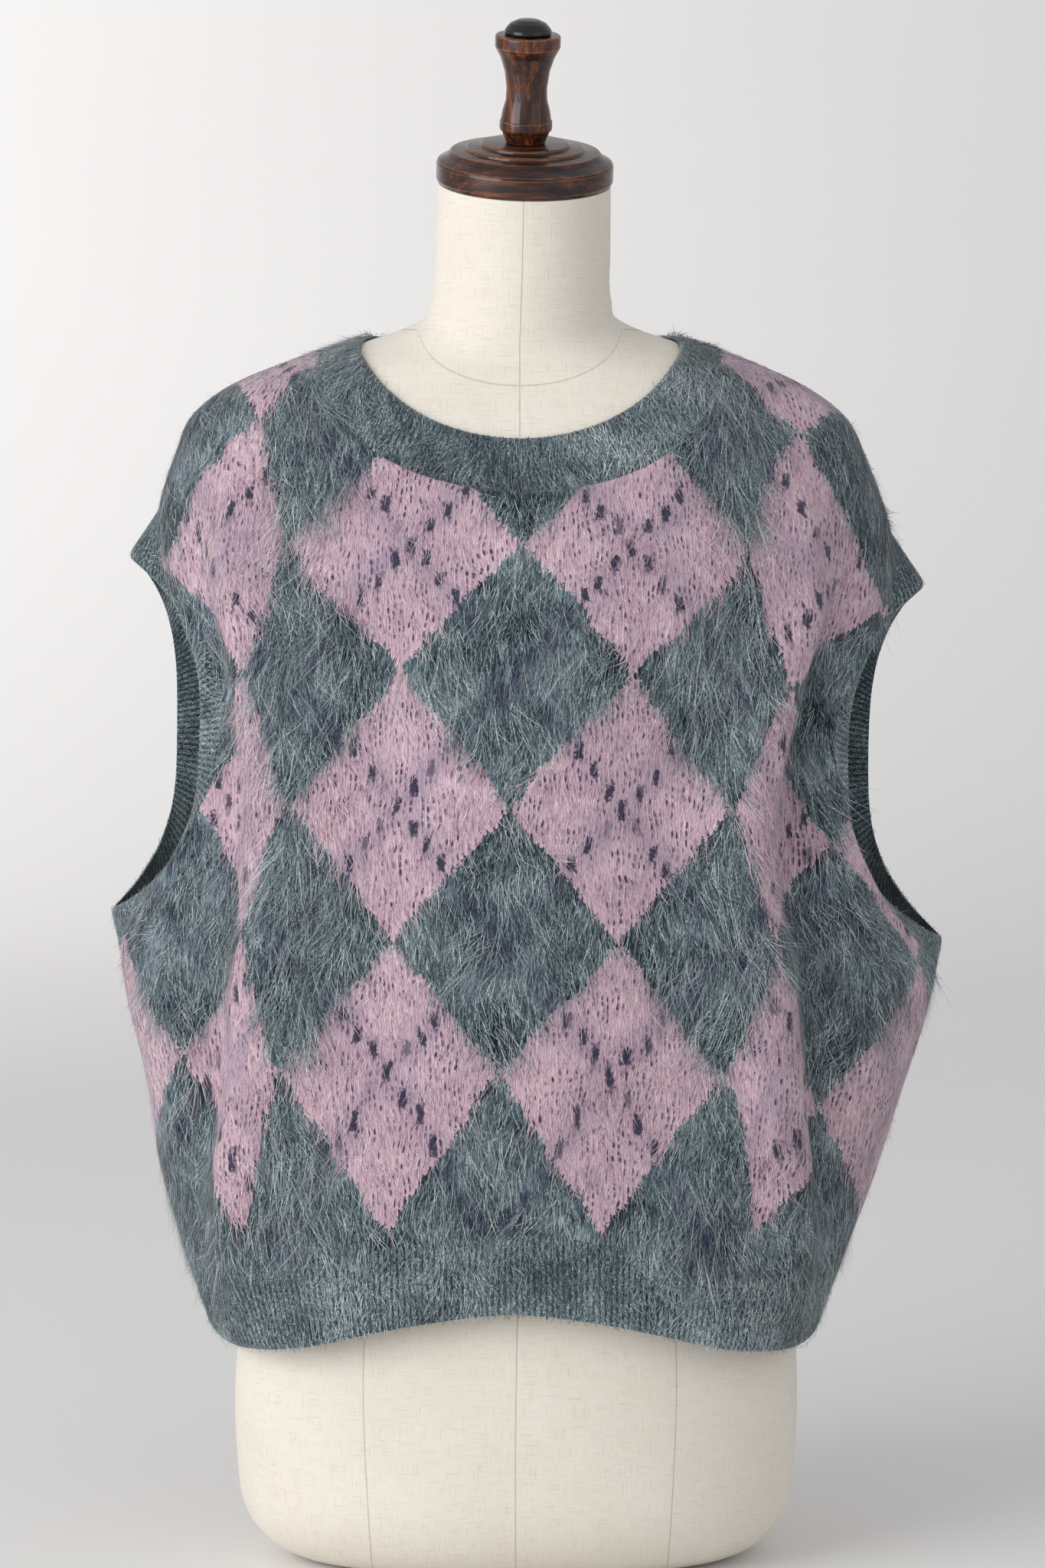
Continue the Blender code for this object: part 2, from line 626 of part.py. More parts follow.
def knitted(name, grid, normals, material, ring=False, seams=(), ribbed=False):
    """A wall of knit on a grid of points: plain inside, and plain or ribbed outside."""
    inner = inset_seams(grid, ring, seams)
    if ring:
        inner = np.concatenate([inner, inner[:, :1]], axis=1)
        normals = np.concatenate([normals, normals[:, :1]], axis=1)
    steps = np.arange(inner.shape[1])
    places = rib_places(inner[-1]) if ribbed else steps
    height = np.full(len(places), KNIT)
    if ribbed:
        height[::2] = RIB_TROUGH
    lines = []
    for line, away in zip(inner, normals):
        on = np.stack([np.interp(places, steps, value) for value in line.T], axis=1)
        out = np.stack([np.interp(places, steps, value) for value in away.T], axis=1)
        lines.append(on + out * height[:, None])
    outer = np.stack(lines)

    # A ring's last column is its first one again, so it gets no points of its own.
    last = -1 if ring else None
    points = [*inner[:, :last].reshape(-1, 3), *outer[:, :last].reshape(-1, 3)]
    inner_ids = np.arange(inner[:, :last, 0].size).reshape(len(inner), -1)
    outer_ids = np.arange(inner_ids.size, len(points)).reshape(len(inner), -1)
    if ring:
        inner_ids = np.concatenate([inner_ids, inner_ids[:, :1]], axis=1)
        outer_ids = np.concatenate([outer_ids, outer_ids[:, :1]], axis=1)

    faces = []
    for ids in (inner_ids, outer_ids):
        faces += split_faces(ids, points)
    for row in (0, -1):
        faces += zipped(inner_ids[row], outer_ids[row], steps, places)
    if not ring:
        for column in (0, -1):
            side = np.stack([inner_ids[:, column], outer_ids[:, column]])
            faces += split_faces(side, points)
    return mesh_object(name, points, faces, material)


def split_faces(ids, points):
    """The faces of a grid of point numbers, each split in two along its shorter diagonal."""
    points = np.array(points)
    faces = []
    for low, low_next, high, high_next in zip(
        ids[:-1, :-1].flat, ids[:-1, 1:].flat, ids[1:, :-1].flat, ids[1:, 1:].flat
    ):
        rising = np.linalg.norm(points[high_next] - points[low])
        falling = np.linalg.norm(points[high] - points[low_next])
        if rising < falling:
            faces += [(low, low_next, high_next), (low, high_next, high)]
        else:
            faces += [(low, low_next, high), (low_next, high_next, high)]
    return faces


def build_vest():
    front, back = panel_grid(-1), panel_grid(1)
    # The two panels share their side seams and shoulder seams.
    back[: SIDE_ROWS + 1, (0, -1)] = front[: SIDE_ROWS + 1, (0, -1)]
    neck = HALF_COLUMNS - NECK_COLUMNS
    back[-1, : neck + 1] = front[-1, : neck + 1]
    back[-1, -neck - 1 :] = front[-1, -neck - 1 :]

    neckband = neckband_rows(front, back)
    # The neckband's attached edge now rests on the form, and the panels follow it.
    low, high = neck, HALF_COLUMNS + NECK_COLUMNS
    across = high - low
    front[-1, low : high + 1] = neckband[0, : across + 1]
    back[-1, low] = neckband[0, 0]
    back[-1, high : low : -1] = neckband[0, across:]
    lift_off_form((front, back, neckband))

    names = (
        "vest_front",
        "vest_back",
        "hem_rib_front",
        "hem_rib_back",
        "neckband",
        "armband_left",
        "armband_right",
    )
    grids = (
        front,
        back,
        hem_rows(front, -1),
        hem_rows(back, 1),
        neckband,
        armband_rows(front, back, 1),
        armband_rows(front, back, -1),
    )
    rings = (False, False, False, False, True, True, True)
    seams = (
        ("low", "high", "left", "right"),
        ("low", "high", "left", "right"),
        ("high", "left", "right"),
        ("high", "left", "right"),
        ("low",),
        ("low",),
        ("low",),
    )
    brushed = coloured("brushed_argyle_knit", "8E8089", 0.9)
    plain = coloured("plain_rib_knit", "55636A", 0.9)
    all_normals = net_normals(grids, rings)
    for name, grid, normals, ring, sewn in zip(names, grids, all_normals, rings, seams):
        panel = name.startswith("vest")
        material = brushed if panel else plain
        knitted(name, grid, normals, material, ring, sewn, ribbed=not panel)


# ---------------------------------------------------------------- build
for leftover in list(bpy.data.objects):
    bpy.data.objects.remove(leftover, do_unlink=True)
parts = bpy.data.collections.new("sweater_vest_on_dress_form")
bpy.context.scene.collection.children.link(parts)

neck_top = bpy.data.objects.new("neck_top", None)
neck_top.location = NECK_TOP
neck_top.rotation_euler = (np.radians(NECK_TILT), np.radians(NECK_LEAN), 0)
parts.objects.link(neck_top)

form_body = build_form_body()
surface = bmesh.new()
surface.from_mesh(form_body.data)
bmesh.ops.triangulate(surface, faces=surface.faces)
form_surface = BVHTree.FromBMesh(surface)
surface.free()

walnut = coloured("dark_turned_wood", "55260F", 0.25)
ebony = coloured("ebony_button", "1A2022", 0.2)
cap_base = SEAM_GAP
finial_base = cap_base + CAP_PROFILE[0][1] + SEAM_GAP
button_base = finial_base + FINIAL_PROFILE[0][1] + SEAM_GAP
turned("neck_cap", CAP_PROFILE, cap_base, walnut)
turned("finial", FINIAL_PROFILE, finial_base, walnut)
turned("finial_button", BUTTON_PROFILE, button_base, ebony)

build_vest()
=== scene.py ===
# %% [markdown]
# # A brushed mohair vest on a dress form
#
# The real thing is an oversized, sleeveless pullover, knitted in a common argyle and brushed
# until its mohair stands up as a soft pile. It is pulled over a linen-covered dress form with
# a turned wooden cap. Each cell below makes one piece or one finish. All sizes are in metres,
# +Z is up and the front faces -Y.

import bmesh
import bpy
import numpy as np
from mathutils import Matrix, Vector
from mathutils.bvhtree import BVHTree


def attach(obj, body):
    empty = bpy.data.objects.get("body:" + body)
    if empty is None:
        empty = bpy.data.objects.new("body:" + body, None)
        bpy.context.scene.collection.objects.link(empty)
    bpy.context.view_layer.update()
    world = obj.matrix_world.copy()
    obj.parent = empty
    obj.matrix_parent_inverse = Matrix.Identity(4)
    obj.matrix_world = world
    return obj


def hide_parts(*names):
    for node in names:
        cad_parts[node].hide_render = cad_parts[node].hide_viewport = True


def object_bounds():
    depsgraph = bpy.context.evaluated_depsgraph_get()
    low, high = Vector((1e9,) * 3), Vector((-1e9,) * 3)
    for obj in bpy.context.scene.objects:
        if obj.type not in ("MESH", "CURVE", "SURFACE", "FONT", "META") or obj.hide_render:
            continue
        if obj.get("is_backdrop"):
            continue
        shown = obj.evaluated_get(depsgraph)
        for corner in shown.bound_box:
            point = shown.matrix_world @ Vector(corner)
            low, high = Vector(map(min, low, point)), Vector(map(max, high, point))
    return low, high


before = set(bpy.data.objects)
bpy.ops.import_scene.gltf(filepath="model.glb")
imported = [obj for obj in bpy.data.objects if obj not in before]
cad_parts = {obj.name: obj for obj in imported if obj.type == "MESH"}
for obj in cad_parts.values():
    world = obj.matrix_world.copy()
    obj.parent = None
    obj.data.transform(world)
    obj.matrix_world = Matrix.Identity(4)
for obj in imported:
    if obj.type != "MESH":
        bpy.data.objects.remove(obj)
cad_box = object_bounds()
print("nodes:", sorted(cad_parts))

# %% [markdown]
# ## The camera
#
# A long lens keeps a garment's proportions true, so a clothes picture is taken from a few
# metres away. The camera stands a little above the middle of the form and looks slightly down.

# %% Camera
CAMERA_PLACE = Vector((0.0, -3.0, 0.72))
CAMERA_TARGET = Vector((0.00136, 0.0, 0.461))
CAMERA_LENS = 117.0

camera_data = bpy.data.cameras.new("camera")
camera_data.sensor_fit = "VERTICAL"
camera_data.sensor_height = 36.0
camera_data.lens = CAMERA_LENS
camera = bpy.data.objects.new("camera", camera_data)
camera.location = CAMERA_PLACE
camera.rotation_euler = (CAMERA_TARGET - CAMERA_PLACE).to_track_quat("-Z", "Y").to_euler()
bpy.context.scene.collection.objects.link(camera)
bpy.context.scene.camera = camera
print("camera looks down", round(90 - np.degrees(camera.rotation_euler.x), 2), "degrees")

# %% [markdown]
# ## Small helpers
#
# Garment sections are drawn from a few measured heights, and a smooth curve through them
# fills in the rest, as a cutter does with a French curve. The other helpers turn a grid of
# points into a mesh, and add one node to a node tree.


# %% Helpers for curves and meshes
def read(table, keys):
    """The table's other columns at these keys, on smooth curves through its rows."""
    table = np.array(table, float)
    key, value = table[:, 0], table[:, 1:]
    slope = np.gradient(value, key, axis=0)
    keys = np.asarray(keys, float)
    row = np.clip(np.searchsorted(key, keys) - 1, 0, len(key) - 2)
    step = (key[row + 1] - key[row])[..., None]
    u = np.clip((keys - key[row])[..., None] / step, 0, 1)
    ends = (1 - u) ** 2 * (1 + 2 * u) * value[row] + u**2 * (3 - 2 * u) * value[row + 1]
    return ends + u * (1 - u) * step * ((1 - u) * slope[row] - u * slope[row + 1])


def ease(start, end, x):
    """0 up to start, 1 from end on, and smooth between. The end may be below the start."""
    u = np.clip((np.asarray(x, float) - start) / (end - start), 0, 1)
    return u * u * (3 - 2 * u)


def oval(angle, half_width, depth, squareness):
    """Across and outwards from a section's centre, at an angle in radians from the front."""
    power = 2 / squareness
    sine, cosine = np.sin(angle), np.cos(angle)
    return (
        half_width * np.sign(sine) * np.abs(sine) ** power,
        depth * np.abs(cosine) ** power,
    )


def unit(vectors):
    """The vectors at length 1."""
    return vectors / np.maximum(np.linalg.norm(vectors, axis=-1, keepdims=True), 1e-12)


def run_length(points, axis=0):
    """The distance along lines of points, from their first one."""
    steps = np.linalg.norm(np.diff(points, axis=axis), axis=-1)
    return np.concatenate([np.zeros_like(np.take(steps, [0], axis)), steps.cumsum(axis)], axis)


def grid_faces(ids):
    """The four-sided faces between the rows and columns of a grid of point numbers."""
    corners = ids[:-1, :-1], ids[:-1, 1:], ids[1:, 1:], ids[1:, :-1]
    return np.stack(corners, axis=-1).reshape(-1, 4)


def mesh_piece(name, points, faces, maps=None, values=None, smooth_deg=None):
    """An object from points and faces, with UV maps and named numbers for each point."""
    mesh = bpy.data.meshes.new(name)
    mesh.from_pydata(np.asarray(points).tolist(), [], [list(map(int, f)) for f in faces])
    net = bmesh.new()
    net.from_mesh(mesh)
    bmesh.ops.recalc_face_normals(net, faces=net.faces)
    net.to_mesh(mesh)
    net.free()
    corner_points = np.zeros(len(mesh.loops), int)
    mesh.loops.foreach_get("vertex_index", corner_points)
    for key, places in (maps or {}).items():
        layer = mesh.uv_layers.new(name=key)
        layer.uv.foreach_set("vector", np.asarray(places, float)[corner_points].ravel())
    for key, numbers in (values or {}).items():
        store = mesh.attributes.new(key, "FLOAT", "POINT")
        store.data.foreach_set("value", np.asarray(numbers, float).ravel())
    mesh.shade_smooth()
    if smooth_deg:
        mesh.set_sharp_from_angle(angle=np.radians(smooth_deg))
    piece = bpy.data.objects.new(name, mesh)
    bpy.context.scene.collection.objects.link(piece)
    return piece


# %% Helper for node trees
# The kinds of node that are used most.
MATH, VECTOR, MIX = "ShaderNodeMath", "ShaderNodeVectorMath", "ShaderNodeMix"
NOISE, RANGE, RAMP = "ShaderNodeTexNoise", "ShaderNodeMapRange", "ShaderNodeValToRGB"
NOISE_MIDDLE = (0.5, 0.5, 0.5)  # the colour that a noise swings about


def add(tree, kind, inputs=None, stops=(), **settings):
    """Adds a node with its settings. Each input is a value, a socket or another node."""
    node = tree.nodes.new(kind)
    for number, (position, colour) in enumerate(stops):  # the stops of a colour ramp
        elements = node.color_ramp.elements
        element = elements[number] if number < 2 else elements.new(position)
        element.position, element.color = position, linear(colour)
    for key, value in settings.items():
        setattr(node, key, value)
    shown = [socket for socket in node.inputs if socket.enabled]
    for key, value in (inputs or {}).items():
        named = (socket for socket in shown if socket.name == key)
        socket = shown[key] if isinstance(key, int) else next(named)
        if isinstance(value, bpy.types.Node):
            value = next(output for output in value.outputs if output.enabled)
        if isinstance(value, bpy.types.NodeSocket):
            tree.links.new(value, socket)
        else:
            socket.default_value = value
    return node


def linear(hex_colour):
    """An sRGB hex colour in the linear numbers that the nodes work with."""
    srgb = [int(hex_colour[i : i + 2], 16) / 255 for i in (1, 3, 5)]
    return (*[c / 12.92 if c <= 0.04045 else ((c + 0.055) / 1.055) ** 2.4 for c in srgb], 1)


# %% [markdown]
# ## The dress form
#
# A dress form is a moulded torso that is padded and covered in linen, cut in panels. Here it
# is a stack of rounded oval sections, closed at the flat underside and at the top of the
# neck. The number of sections is what makes the bust, waist and shoulders smooth. Each point
# also keeps its distance from the panel seams, so that the linen can show them.

# %% The form's sizes
FORM_SIDES = 120
FORM_ROWS = 96
BASE_ROUND = 0.050  # radius of the lower edge
ROUND_TO, ROUND_ROWS = 78.0, 9  # degrees of that round, and its rows
NECK_TOP = (0.0025, -0.012, 0.8135)
NECK_TOP_RADIUS = 0.0503
NECK_TILT, NECK_LEAN = 14.0, 1.4  # degrees, forward and to the side
NECK_SHARES = (0.35, 0.7, 1.0)  # rows from the last section to the top of the neck

FORM_SECTIONS = (
    # z,    x,       y,      tilt, half_width, front, back,  squareness
    (0.050, -0.0025, 0.000, 0.0, 0.1655, 0.104, 0.114, 2.3),
    (0.085, -0.0025, 0.000, 0.0, 0.1675, 0.104, 0.117, 2.3),
    (0.130, -0.0020, 0.000, 0.0, 0.1660, 0.101, 0.115, 2.3),
    (0.190, -0.0010, 0.000, 0.0, 0.1570, 0.097, 0.104, 2.3),
    (0.260, 0.0000, 0.000, 0.0, 0.1370, 0.090, 0.086, 2.25),
    (0.330, 0.0000, 0.000, 0.0, 0.1190, 0.083, 0.074, 2.2),
    (0.380, 0.0000, 0.000, 0.0, 0.1210, 0.088, 0.075, 2.2),
    (0.430, 0.0000, 0.000, 0.0, 0.1300, 0.103, 0.083, 2.2),
    (0.480, 0.0000, 0.000, 0.0, 0.1390, 0.119, 0.092, 2.2),
    (0.515, 0.0000, 0.001, 0.0, 0.1430, 0.121, 0.097, 2.2),
    (0.555, 0.0000, 0.002, 0.0, 0.1500, 0.109, 0.101, 2.2),
    (0.595, 0.0000, 0.003, 0.0, 0.1620, 0.093, 0.101, 2.25),
    (0.632, 0.0000, 0.004, 0.0, 0.1720, 0.080, 0.097, 2.3),
    (0.660, 0.0000, 0.005, 1.0, 0.1790, 0.071, 0.090, 2.3),
    (0.683, 0.0000, 0.006, 3.0, 0.1700, 0.063, 0.080, 2.3),
    (0.697, 0.0000, 0.006, 6.0, 0.1530, 0.057, 0.071, 2.3),
    (0.7065, 0.0000, 0.006, 9.0, 0.1320, 0.054, 0.065, 2.25),
    (0.7145, 0.0000, 0.006, 11.0, 0.1060, 0.052, 0.061, 2.2),
    (0.7225, 0.0000, 0.006, 13.0, 0.0780, 0.050, 0.058, 2.1),
    (0.732, 0.0000, 0.005, 14.0, 0.0585, 0.050, 0.056, 2.0),
    (0.746, 0.0005, 0.003, 14.5, 0.0530, 0.050, 0.053, 2.0),
    (0.775, 0.0015, -0.003, 14.0, 0.0513, 0.050, 0.051, 2.0),
)

# The panel seam on either side of the centre front, and the seam at the foot of the neck.
PRINCESS_SEAM = (
    # z,   across
    (0.00, 0.086),
    (0.15, 0.090),
    (0.33, 0.062),
    (0.50, 0.074),
    (0.66, 0.088),
    (0.72, 0.070),
)
PRINCESS_TOP = 0.700  # it ends under the shoulder seam
PRINCESS_BACK = 0.075  # from the centre, straight up the back
NECK_SEAM_SIDE_Z, NECK_SEAM_HALF_WIDTH = 0.7285, 0.0590
NECK_SEAM_DROP, NECK_SEAM_RISE = 0.0325, 0.008  # in front and behind


# %% The form's points
def form_row(z, x, y, tilt, half_width, front, back, squareness):
    """One section of the form, all round from the centre front towards +X."""
    turn = np.linspace(0, 2 * np.pi, FORM_SIDES, endpoint=False)
    depth = np.where(np.cos(turn) >= 0, front, back)
    across, outwards = oval(turn, half_width, depth, squareness)
    along_y = -np.sign(np.cos(turn)) * outwards
    lean = np.radians(tilt)
    return np.stack(
        [x + across, y + along_y * np.cos(lean), z + along_y * np.sin(lean)], axis=1
    )


neck_top = (
    Matrix.Translation(NECK_TOP)
    @ Matrix.Rotation(np.radians(NECK_LEAN), 4, "Y")
    @ Matrix.Rotation(np.radians(NECK_TILT), 4, "X")
)
base = np.array(FORM_SECTIONS[0])
rows = []
for angle in np.radians(np.linspace(0, ROUND_TO, ROUND_ROWS)):
    inset, level = BASE_ROUND * (1 - np.sin(angle)), BASE_ROUND * (1 - np.cos(angle))
    rows.append(form_row(level, *base[1:4], *(base[4:7] - inset), base[7]))
key_heights = [section[0] for section in FORM_SECTIONS]
key_shares = np.linspace(0, 1, len(key_heights))
heights = np.interp(np.linspace(0, 1, FORM_ROWS), key_shares, key_heights)
rows += [form_row(z, *read(FORM_SECTIONS, z)) for z in heights]
turn = np.linspace(0, 2 * np.pi, FORM_SIDES, endpoint=False)
top_row = [
    neck_top @ Vector((NECK_TOP_RADIUS * np.sin(t), -NECK_TOP_RADIUS * np.cos(t), 0)) for t in turn
]
last = rows[-1]
for share in NECK_SHARES:
    rows.append(last + (np.array(top_row) - last) * share)
form_points = np.stack(rows)
print("form rows and sides:", form_points.shape[:2])

# %% The form's mesh
ids = np.arange(form_points[..., 0].size).reshape(form_points.shape[:2])
wide_ids = np.concatenate([ids, ids[:, :1]], axis=1)
form_faces = grid_faces(wide_ids).tolist()
form_faces += [ids[0].tolist(), ids[-1].tolist()]

# The linen's own coordinates: the way round from the centre front, and the height.
closed = np.concatenate([form_points, form_points[:, :1]], axis=1)
around = run_length(closed[..., [0, 1, 1]] * (1, 1, 0), axis=1)
half = around[:, -1:] / 2
signed = np.where(around[:, :-1] > half, around[:, :-1] - 2 * half, around[:, :-1])
x, y, z = np.moveaxis(form_points, -1, 0)
seam_z = np.clip(z, 0, PRINCESS_SEAM[-1][0])
princess = np.abs(x) - read(PRINCESS_SEAM, seam_z)[..., 0]
princess = np.where(y < 0, princess, np.abs(x) - PRINCESS_BACK)
princess = np.where(z > PRINCESS_TOP, 1.0, princess)
across_neck = np.clip(x / NECK_SEAM_HALF_WIDTH, -1, 1)
dip = np.where(y < 0, -NECK_SEAM_DROP, NECK_SEAM_RISE) * np.sqrt(1 - across_neck**2)
form_values = {
    "centre": np.where(np.abs(signed) < half / 2, signed, half - np.abs(signed)),
    "princess": princess,
    "collar": z - NECK_SEAM_SIDE_Z - dip,
}
form = mesh_piece(
    "form_linen",
    form_points.reshape(-1, 3),
    form_faces,
    maps={"linen": np.stack([signed, z], axis=-1).reshape(-1, 2)},
    values=form_values,
    smooth_deg=40,
)
surface = bmesh.new()
surface.from_mesh(form.data)
form_surface = BVHTree.FromBMesh(surface)
surface.free()
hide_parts("form_body")
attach(form, "root")
print("form faces:", len(form.data.polygons))

# %% [markdown]
# ## Turned wood
#
# The cap, the finial and its button are turned on a lathe. A profile is drawn once and
# revolved about the neck's axis, which is what a lathe does. Small rounds are left at each
# edge, because turned edges are sanded before they are lacquered.

# %% The turned profiles
SEAM_GAP = 0.0003
TURNED_SIDES = 96
ROUND_REACH = 0.35  # share of a side that a rounded corner may take
WORN_FROM, WORN_TO = 0.25, 0.6  # how sharp an edge is where its stain is rubbed thin

CAP_PROFILE = (
    # radius, height
    (0.0000, 0.0235),
    (0.0252, 0.0235),
    (0.0260, 0.0228),
    (0.0262, 0.0214),
    (0.0338, 0.0212),
    (0.0346, 0.0205),
    (0.0348, 0.0191),
    (0.0432, 0.0188),
    (0.0440, 0.0180),
    (0.0458, 0.0158),
    (0.0485, 0.0142),
    (0.0508, 0.0130),
    (0.0516, 0.0112),
    (0.0516, 0.0022),
    (0.0502, 0.0000),
    (0.0000, 0.0000),
)
FINIAL_PROFILE = (
    (0.0000, 0.0630),
    (0.0180, 0.0630),
    (0.0189, 0.0624),
    (0.0190, 0.0610),
    (0.0190, 0.0560),
    (0.0182, 0.0545),
    (0.0158, 0.0500),
    (0.0132, 0.0420),
    (0.0118, 0.0320),
    (0.0121, 0.0250),
    (0.0139, 0.0185),
    (0.0147, 0.0135),
    (0.0153, 0.0128),
    (0.0154, 0.0086),
    (0.0149, 0.0074),
    (0.0137, 0.0066),
    (0.0134, 0.0050),
    (0.0122, 0.0025),
    (0.0114, 0.0000),
    (0.0000, 0.0000),
)
BUTTON_PROFILE = (
    (0.0000, 0.0090),
    (0.0060, 0.0083),
    (0.0104, 0.0063),
    (0.0130, 0.0034),
    (0.0136, 0.0022),
    (0.0137, 0.0012),
    (0.0133, 0.0000),
    (0.0000, 0.0000),
)


# %% Turning them
def turned(name, profile, height, node, rounding):
    """A profile revolved about the neck's axis at this height, its corners rounded."""
    profile = np.array(profile)
    places, steps, worn = [], [], []
    for before, here, after in zip(profile[:-2], profile[1:-1], profile[2:]):
        reach = min(np.linalg.norm(here - before), np.linalg.norm(after - here))
        cut = min(reach * ROUND_REACH, rounding)
        into = (here - before) / np.linalg.norm(here - before)
        onward = (after - here) / np.linalg.norm(after - here)
        sharp = into[1] * onward[0] - into[0] * onward[1]  # over 0 where the edge stands out
        first = here + (before - here) / np.linalg.norm(before - here) * cut
        second = here + (after - here) / np.linalg.norm(after - here) * cut
        for t in (0, 0.5, 1):
            steps.append((1 - t) ** 2 * first + 2 * t * (1 - t) * here + t**2 * second)
            edge = ease(WORN_FROM, WORN_TO, sharp) if t == 0.5 else 0.0
            worn += [float(edge)] * TURNED_SIDES
    angles = np.linspace(0, 2 * np.pi, TURNED_SIDES, endpoint=False)
    for radius, level in steps:
        for a in angles:
            place = Vector((radius * np.sin(a), -radius * np.cos(a), level + height))
            places.append(neck_top @ place)
    top, bottom = profile[0, 1] + height, profile[-1, 1] + height
    ids = np.arange(len(places)).reshape(len(steps), TURNED_SIDES)
    faces = grid_faces(np.concatenate([ids, ids[:, :1]], axis=1)).tolist()
    for row, level in ((0, top), (-1, bottom)):
        centre = len(places)
        places.append(neck_top @ Vector((0, 0, level)))
        ring = ids[row]
        faces += [[ring[i - 1], ring[i], centre] for i in range(TURNED_SIDES)]
    piece = mesh_piece(name, places, faces, values={"worn": worn + [0.0, 0.0]}, smooth_deg=50)
    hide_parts(node)
    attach(piece, "root")
    return piece


cap_base = SEAM_GAP
finial_base = cap_base + CAP_PROFILE[0][1] + SEAM_GAP
button_base = finial_base + FINIAL_PROFILE[0][1] + SEAM_GAP
cap = turned("wood_cap", CAP_PROFILE, cap_base, "neck_cap", 0.0004)
finial = turned("wood_finial", FINIAL_PROFILE, finial_base, "finial", 0.0005)
button = turned("dark_button", BUTTON_PROFILE, button_base, "finial_button", 0.0003)
print("cap faces:", len(cap.data.polygons), "finial:", len(finial.data.polygons))

# %% [markdown]
# ## The vest's cut and hang
#
# The vest is two knitted panels that share their side and shoulder seams, with ribbed bands
# at the hem, the neck and the armholes. Worn, it hangs from the shoulders as a wide, boxy
# tube with soft corners, and it has slipped a little lower on one side. A cloth simulation
# could drape it, but here its worn shape is known from all round, so it is drawn as smooth
# sections with its large folds, as fine as the brushed cloth needs.

# %% The vest's sizes
KNIT = 0.003  # thickness of the brushed knit
RIB_TROUGH, NECK_TROUGH = 0.0024, 0.0028  # brushing has filled the ribs of the neckband
RIB_PITCH = 0.0034  # one rib of the plain bands
HEM_RIB = 0.048
REST_GAP = 0.0008
SEAM_Y = 0.006
SLIP = 0.017  # how much lower the vest hangs on its +X side
SLIP_X, SLIP_Z, SLIP_TOP_Z = (0.02, 0.20), (0.10, 0.30), (0.69, 0.60)
REST_Z, REST_X = (0.58, 0.70), (0.20, 0.10)

UNDERARM_Z, SHOULDER_END_Z = 0.362, 0.622
ARMHOLE_FRONT_ANGLE, ARMHOLE_BACK_ANGLE = 33.0, 29.0
NECK_HALF_WIDTH, NECK_SIDE_Z = 0.093, 0.7185
NECK_FRONT_DROP, NECK_BACK_DROP = 0.051, 0.005
NECK_FRONT_Y, NECK_BACK_Y = -0.074, 0.072
NECK_SEAM_FALL, NECK_SEAM_REACH = 0.002, 0.026

ARM_EDGE_Z, ARM_EDGE_HALF_HEIGHT = 0.491, 0.103
ARM_EDGE_FRONT_Y, ARM_EDGE_BACK_Y = -0.058, 0.066
ARM_EDGE_FRONT_X, ARM_EDGE_BACK_X = 0.187, 0.209
ARM_EDGE_LOW_X, ARM_EDGE_HIGH_X = 0.244, 0.233
ARM_EDGE_POINT, ARMHOLE_POINT = 3.4, 1.2

COLUMN_BEND, COLUMN_CROWD, SQUEEZE = 1.3, 0.07, 1.2
GATHER_FROM, GATHER_LAST, LEVEL_FROM = 0.45, 6.0, 0.6
FOLD_FADE = 0.06

FINER = 4  # times as many columns as the solid's net has
HALF_COLUMNS, NECK_COLUMNS = 17 * FINER, 7 * FINER
SIDE_ROWS, ARMHOLE_ROWS, BAND_ROWS = 35, 60, 9

VEST_SECTIONS = (
    # z,    x,       half_width, front, back,  squareness
    (0.140, -0.0035, 0.177, 0.128, 0.134, 2.6),
    (0.190, -0.0042, 0.194, 0.133, 0.138, 2.45),
    (0.240, -0.0028, 0.2095, 0.138, 0.141, 2.3),
    (0.290, 0.0010, 0.2205, 0.141, 0.143, 2.2),
    (0.340, 0.0030, 0.2345, 0.143, 0.144, 2.15),
    (0.370, 0.0045, 0.239, 0.143, 0.144, 2.15),
    (0.420, 0.0020, 0.226, 0.142, 0.143, 2.15),
    (0.480, 0.0015, 0.216, 0.137, 0.141, 2.15),
    (0.540, 0.0025, 0.213, 0.124, 0.136, 2.2),
    (0.600, 0.0040, 0.214, 0.105, 0.126, 2.3),
    (0.622, 0.0030, 0.213, 0.098, 0.121, 2.3),
    (0.655, 0.0010, 0.201, 0.089, 0.112, 2.3),
    (0.679, -0.0010, 0.188, 0.081, 0.102, 2.3),
    (0.698, -0.0025, 0.161, 0.071, 0.090, 2.3),
    (0.7095, -0.0020, 0.134, 0.064, 0.079, 2.3),
    (0.7165, 0.0000, 0.118, 0.058, 0.071, 2.3),
)
HEM_EDGE = (
    # share, front_z, back_z
    (-0.22, 0.159, 0.145),
    (0.00, 0.166, 0.147),
    (0.22, 0.159, 0.145),
    (0.45, 0.143, 0.141),
    (0.62, 0.138, 0.139),
    (0.80, 0.139, 0.140),
    (1.00, 0.143, 0.143),
)

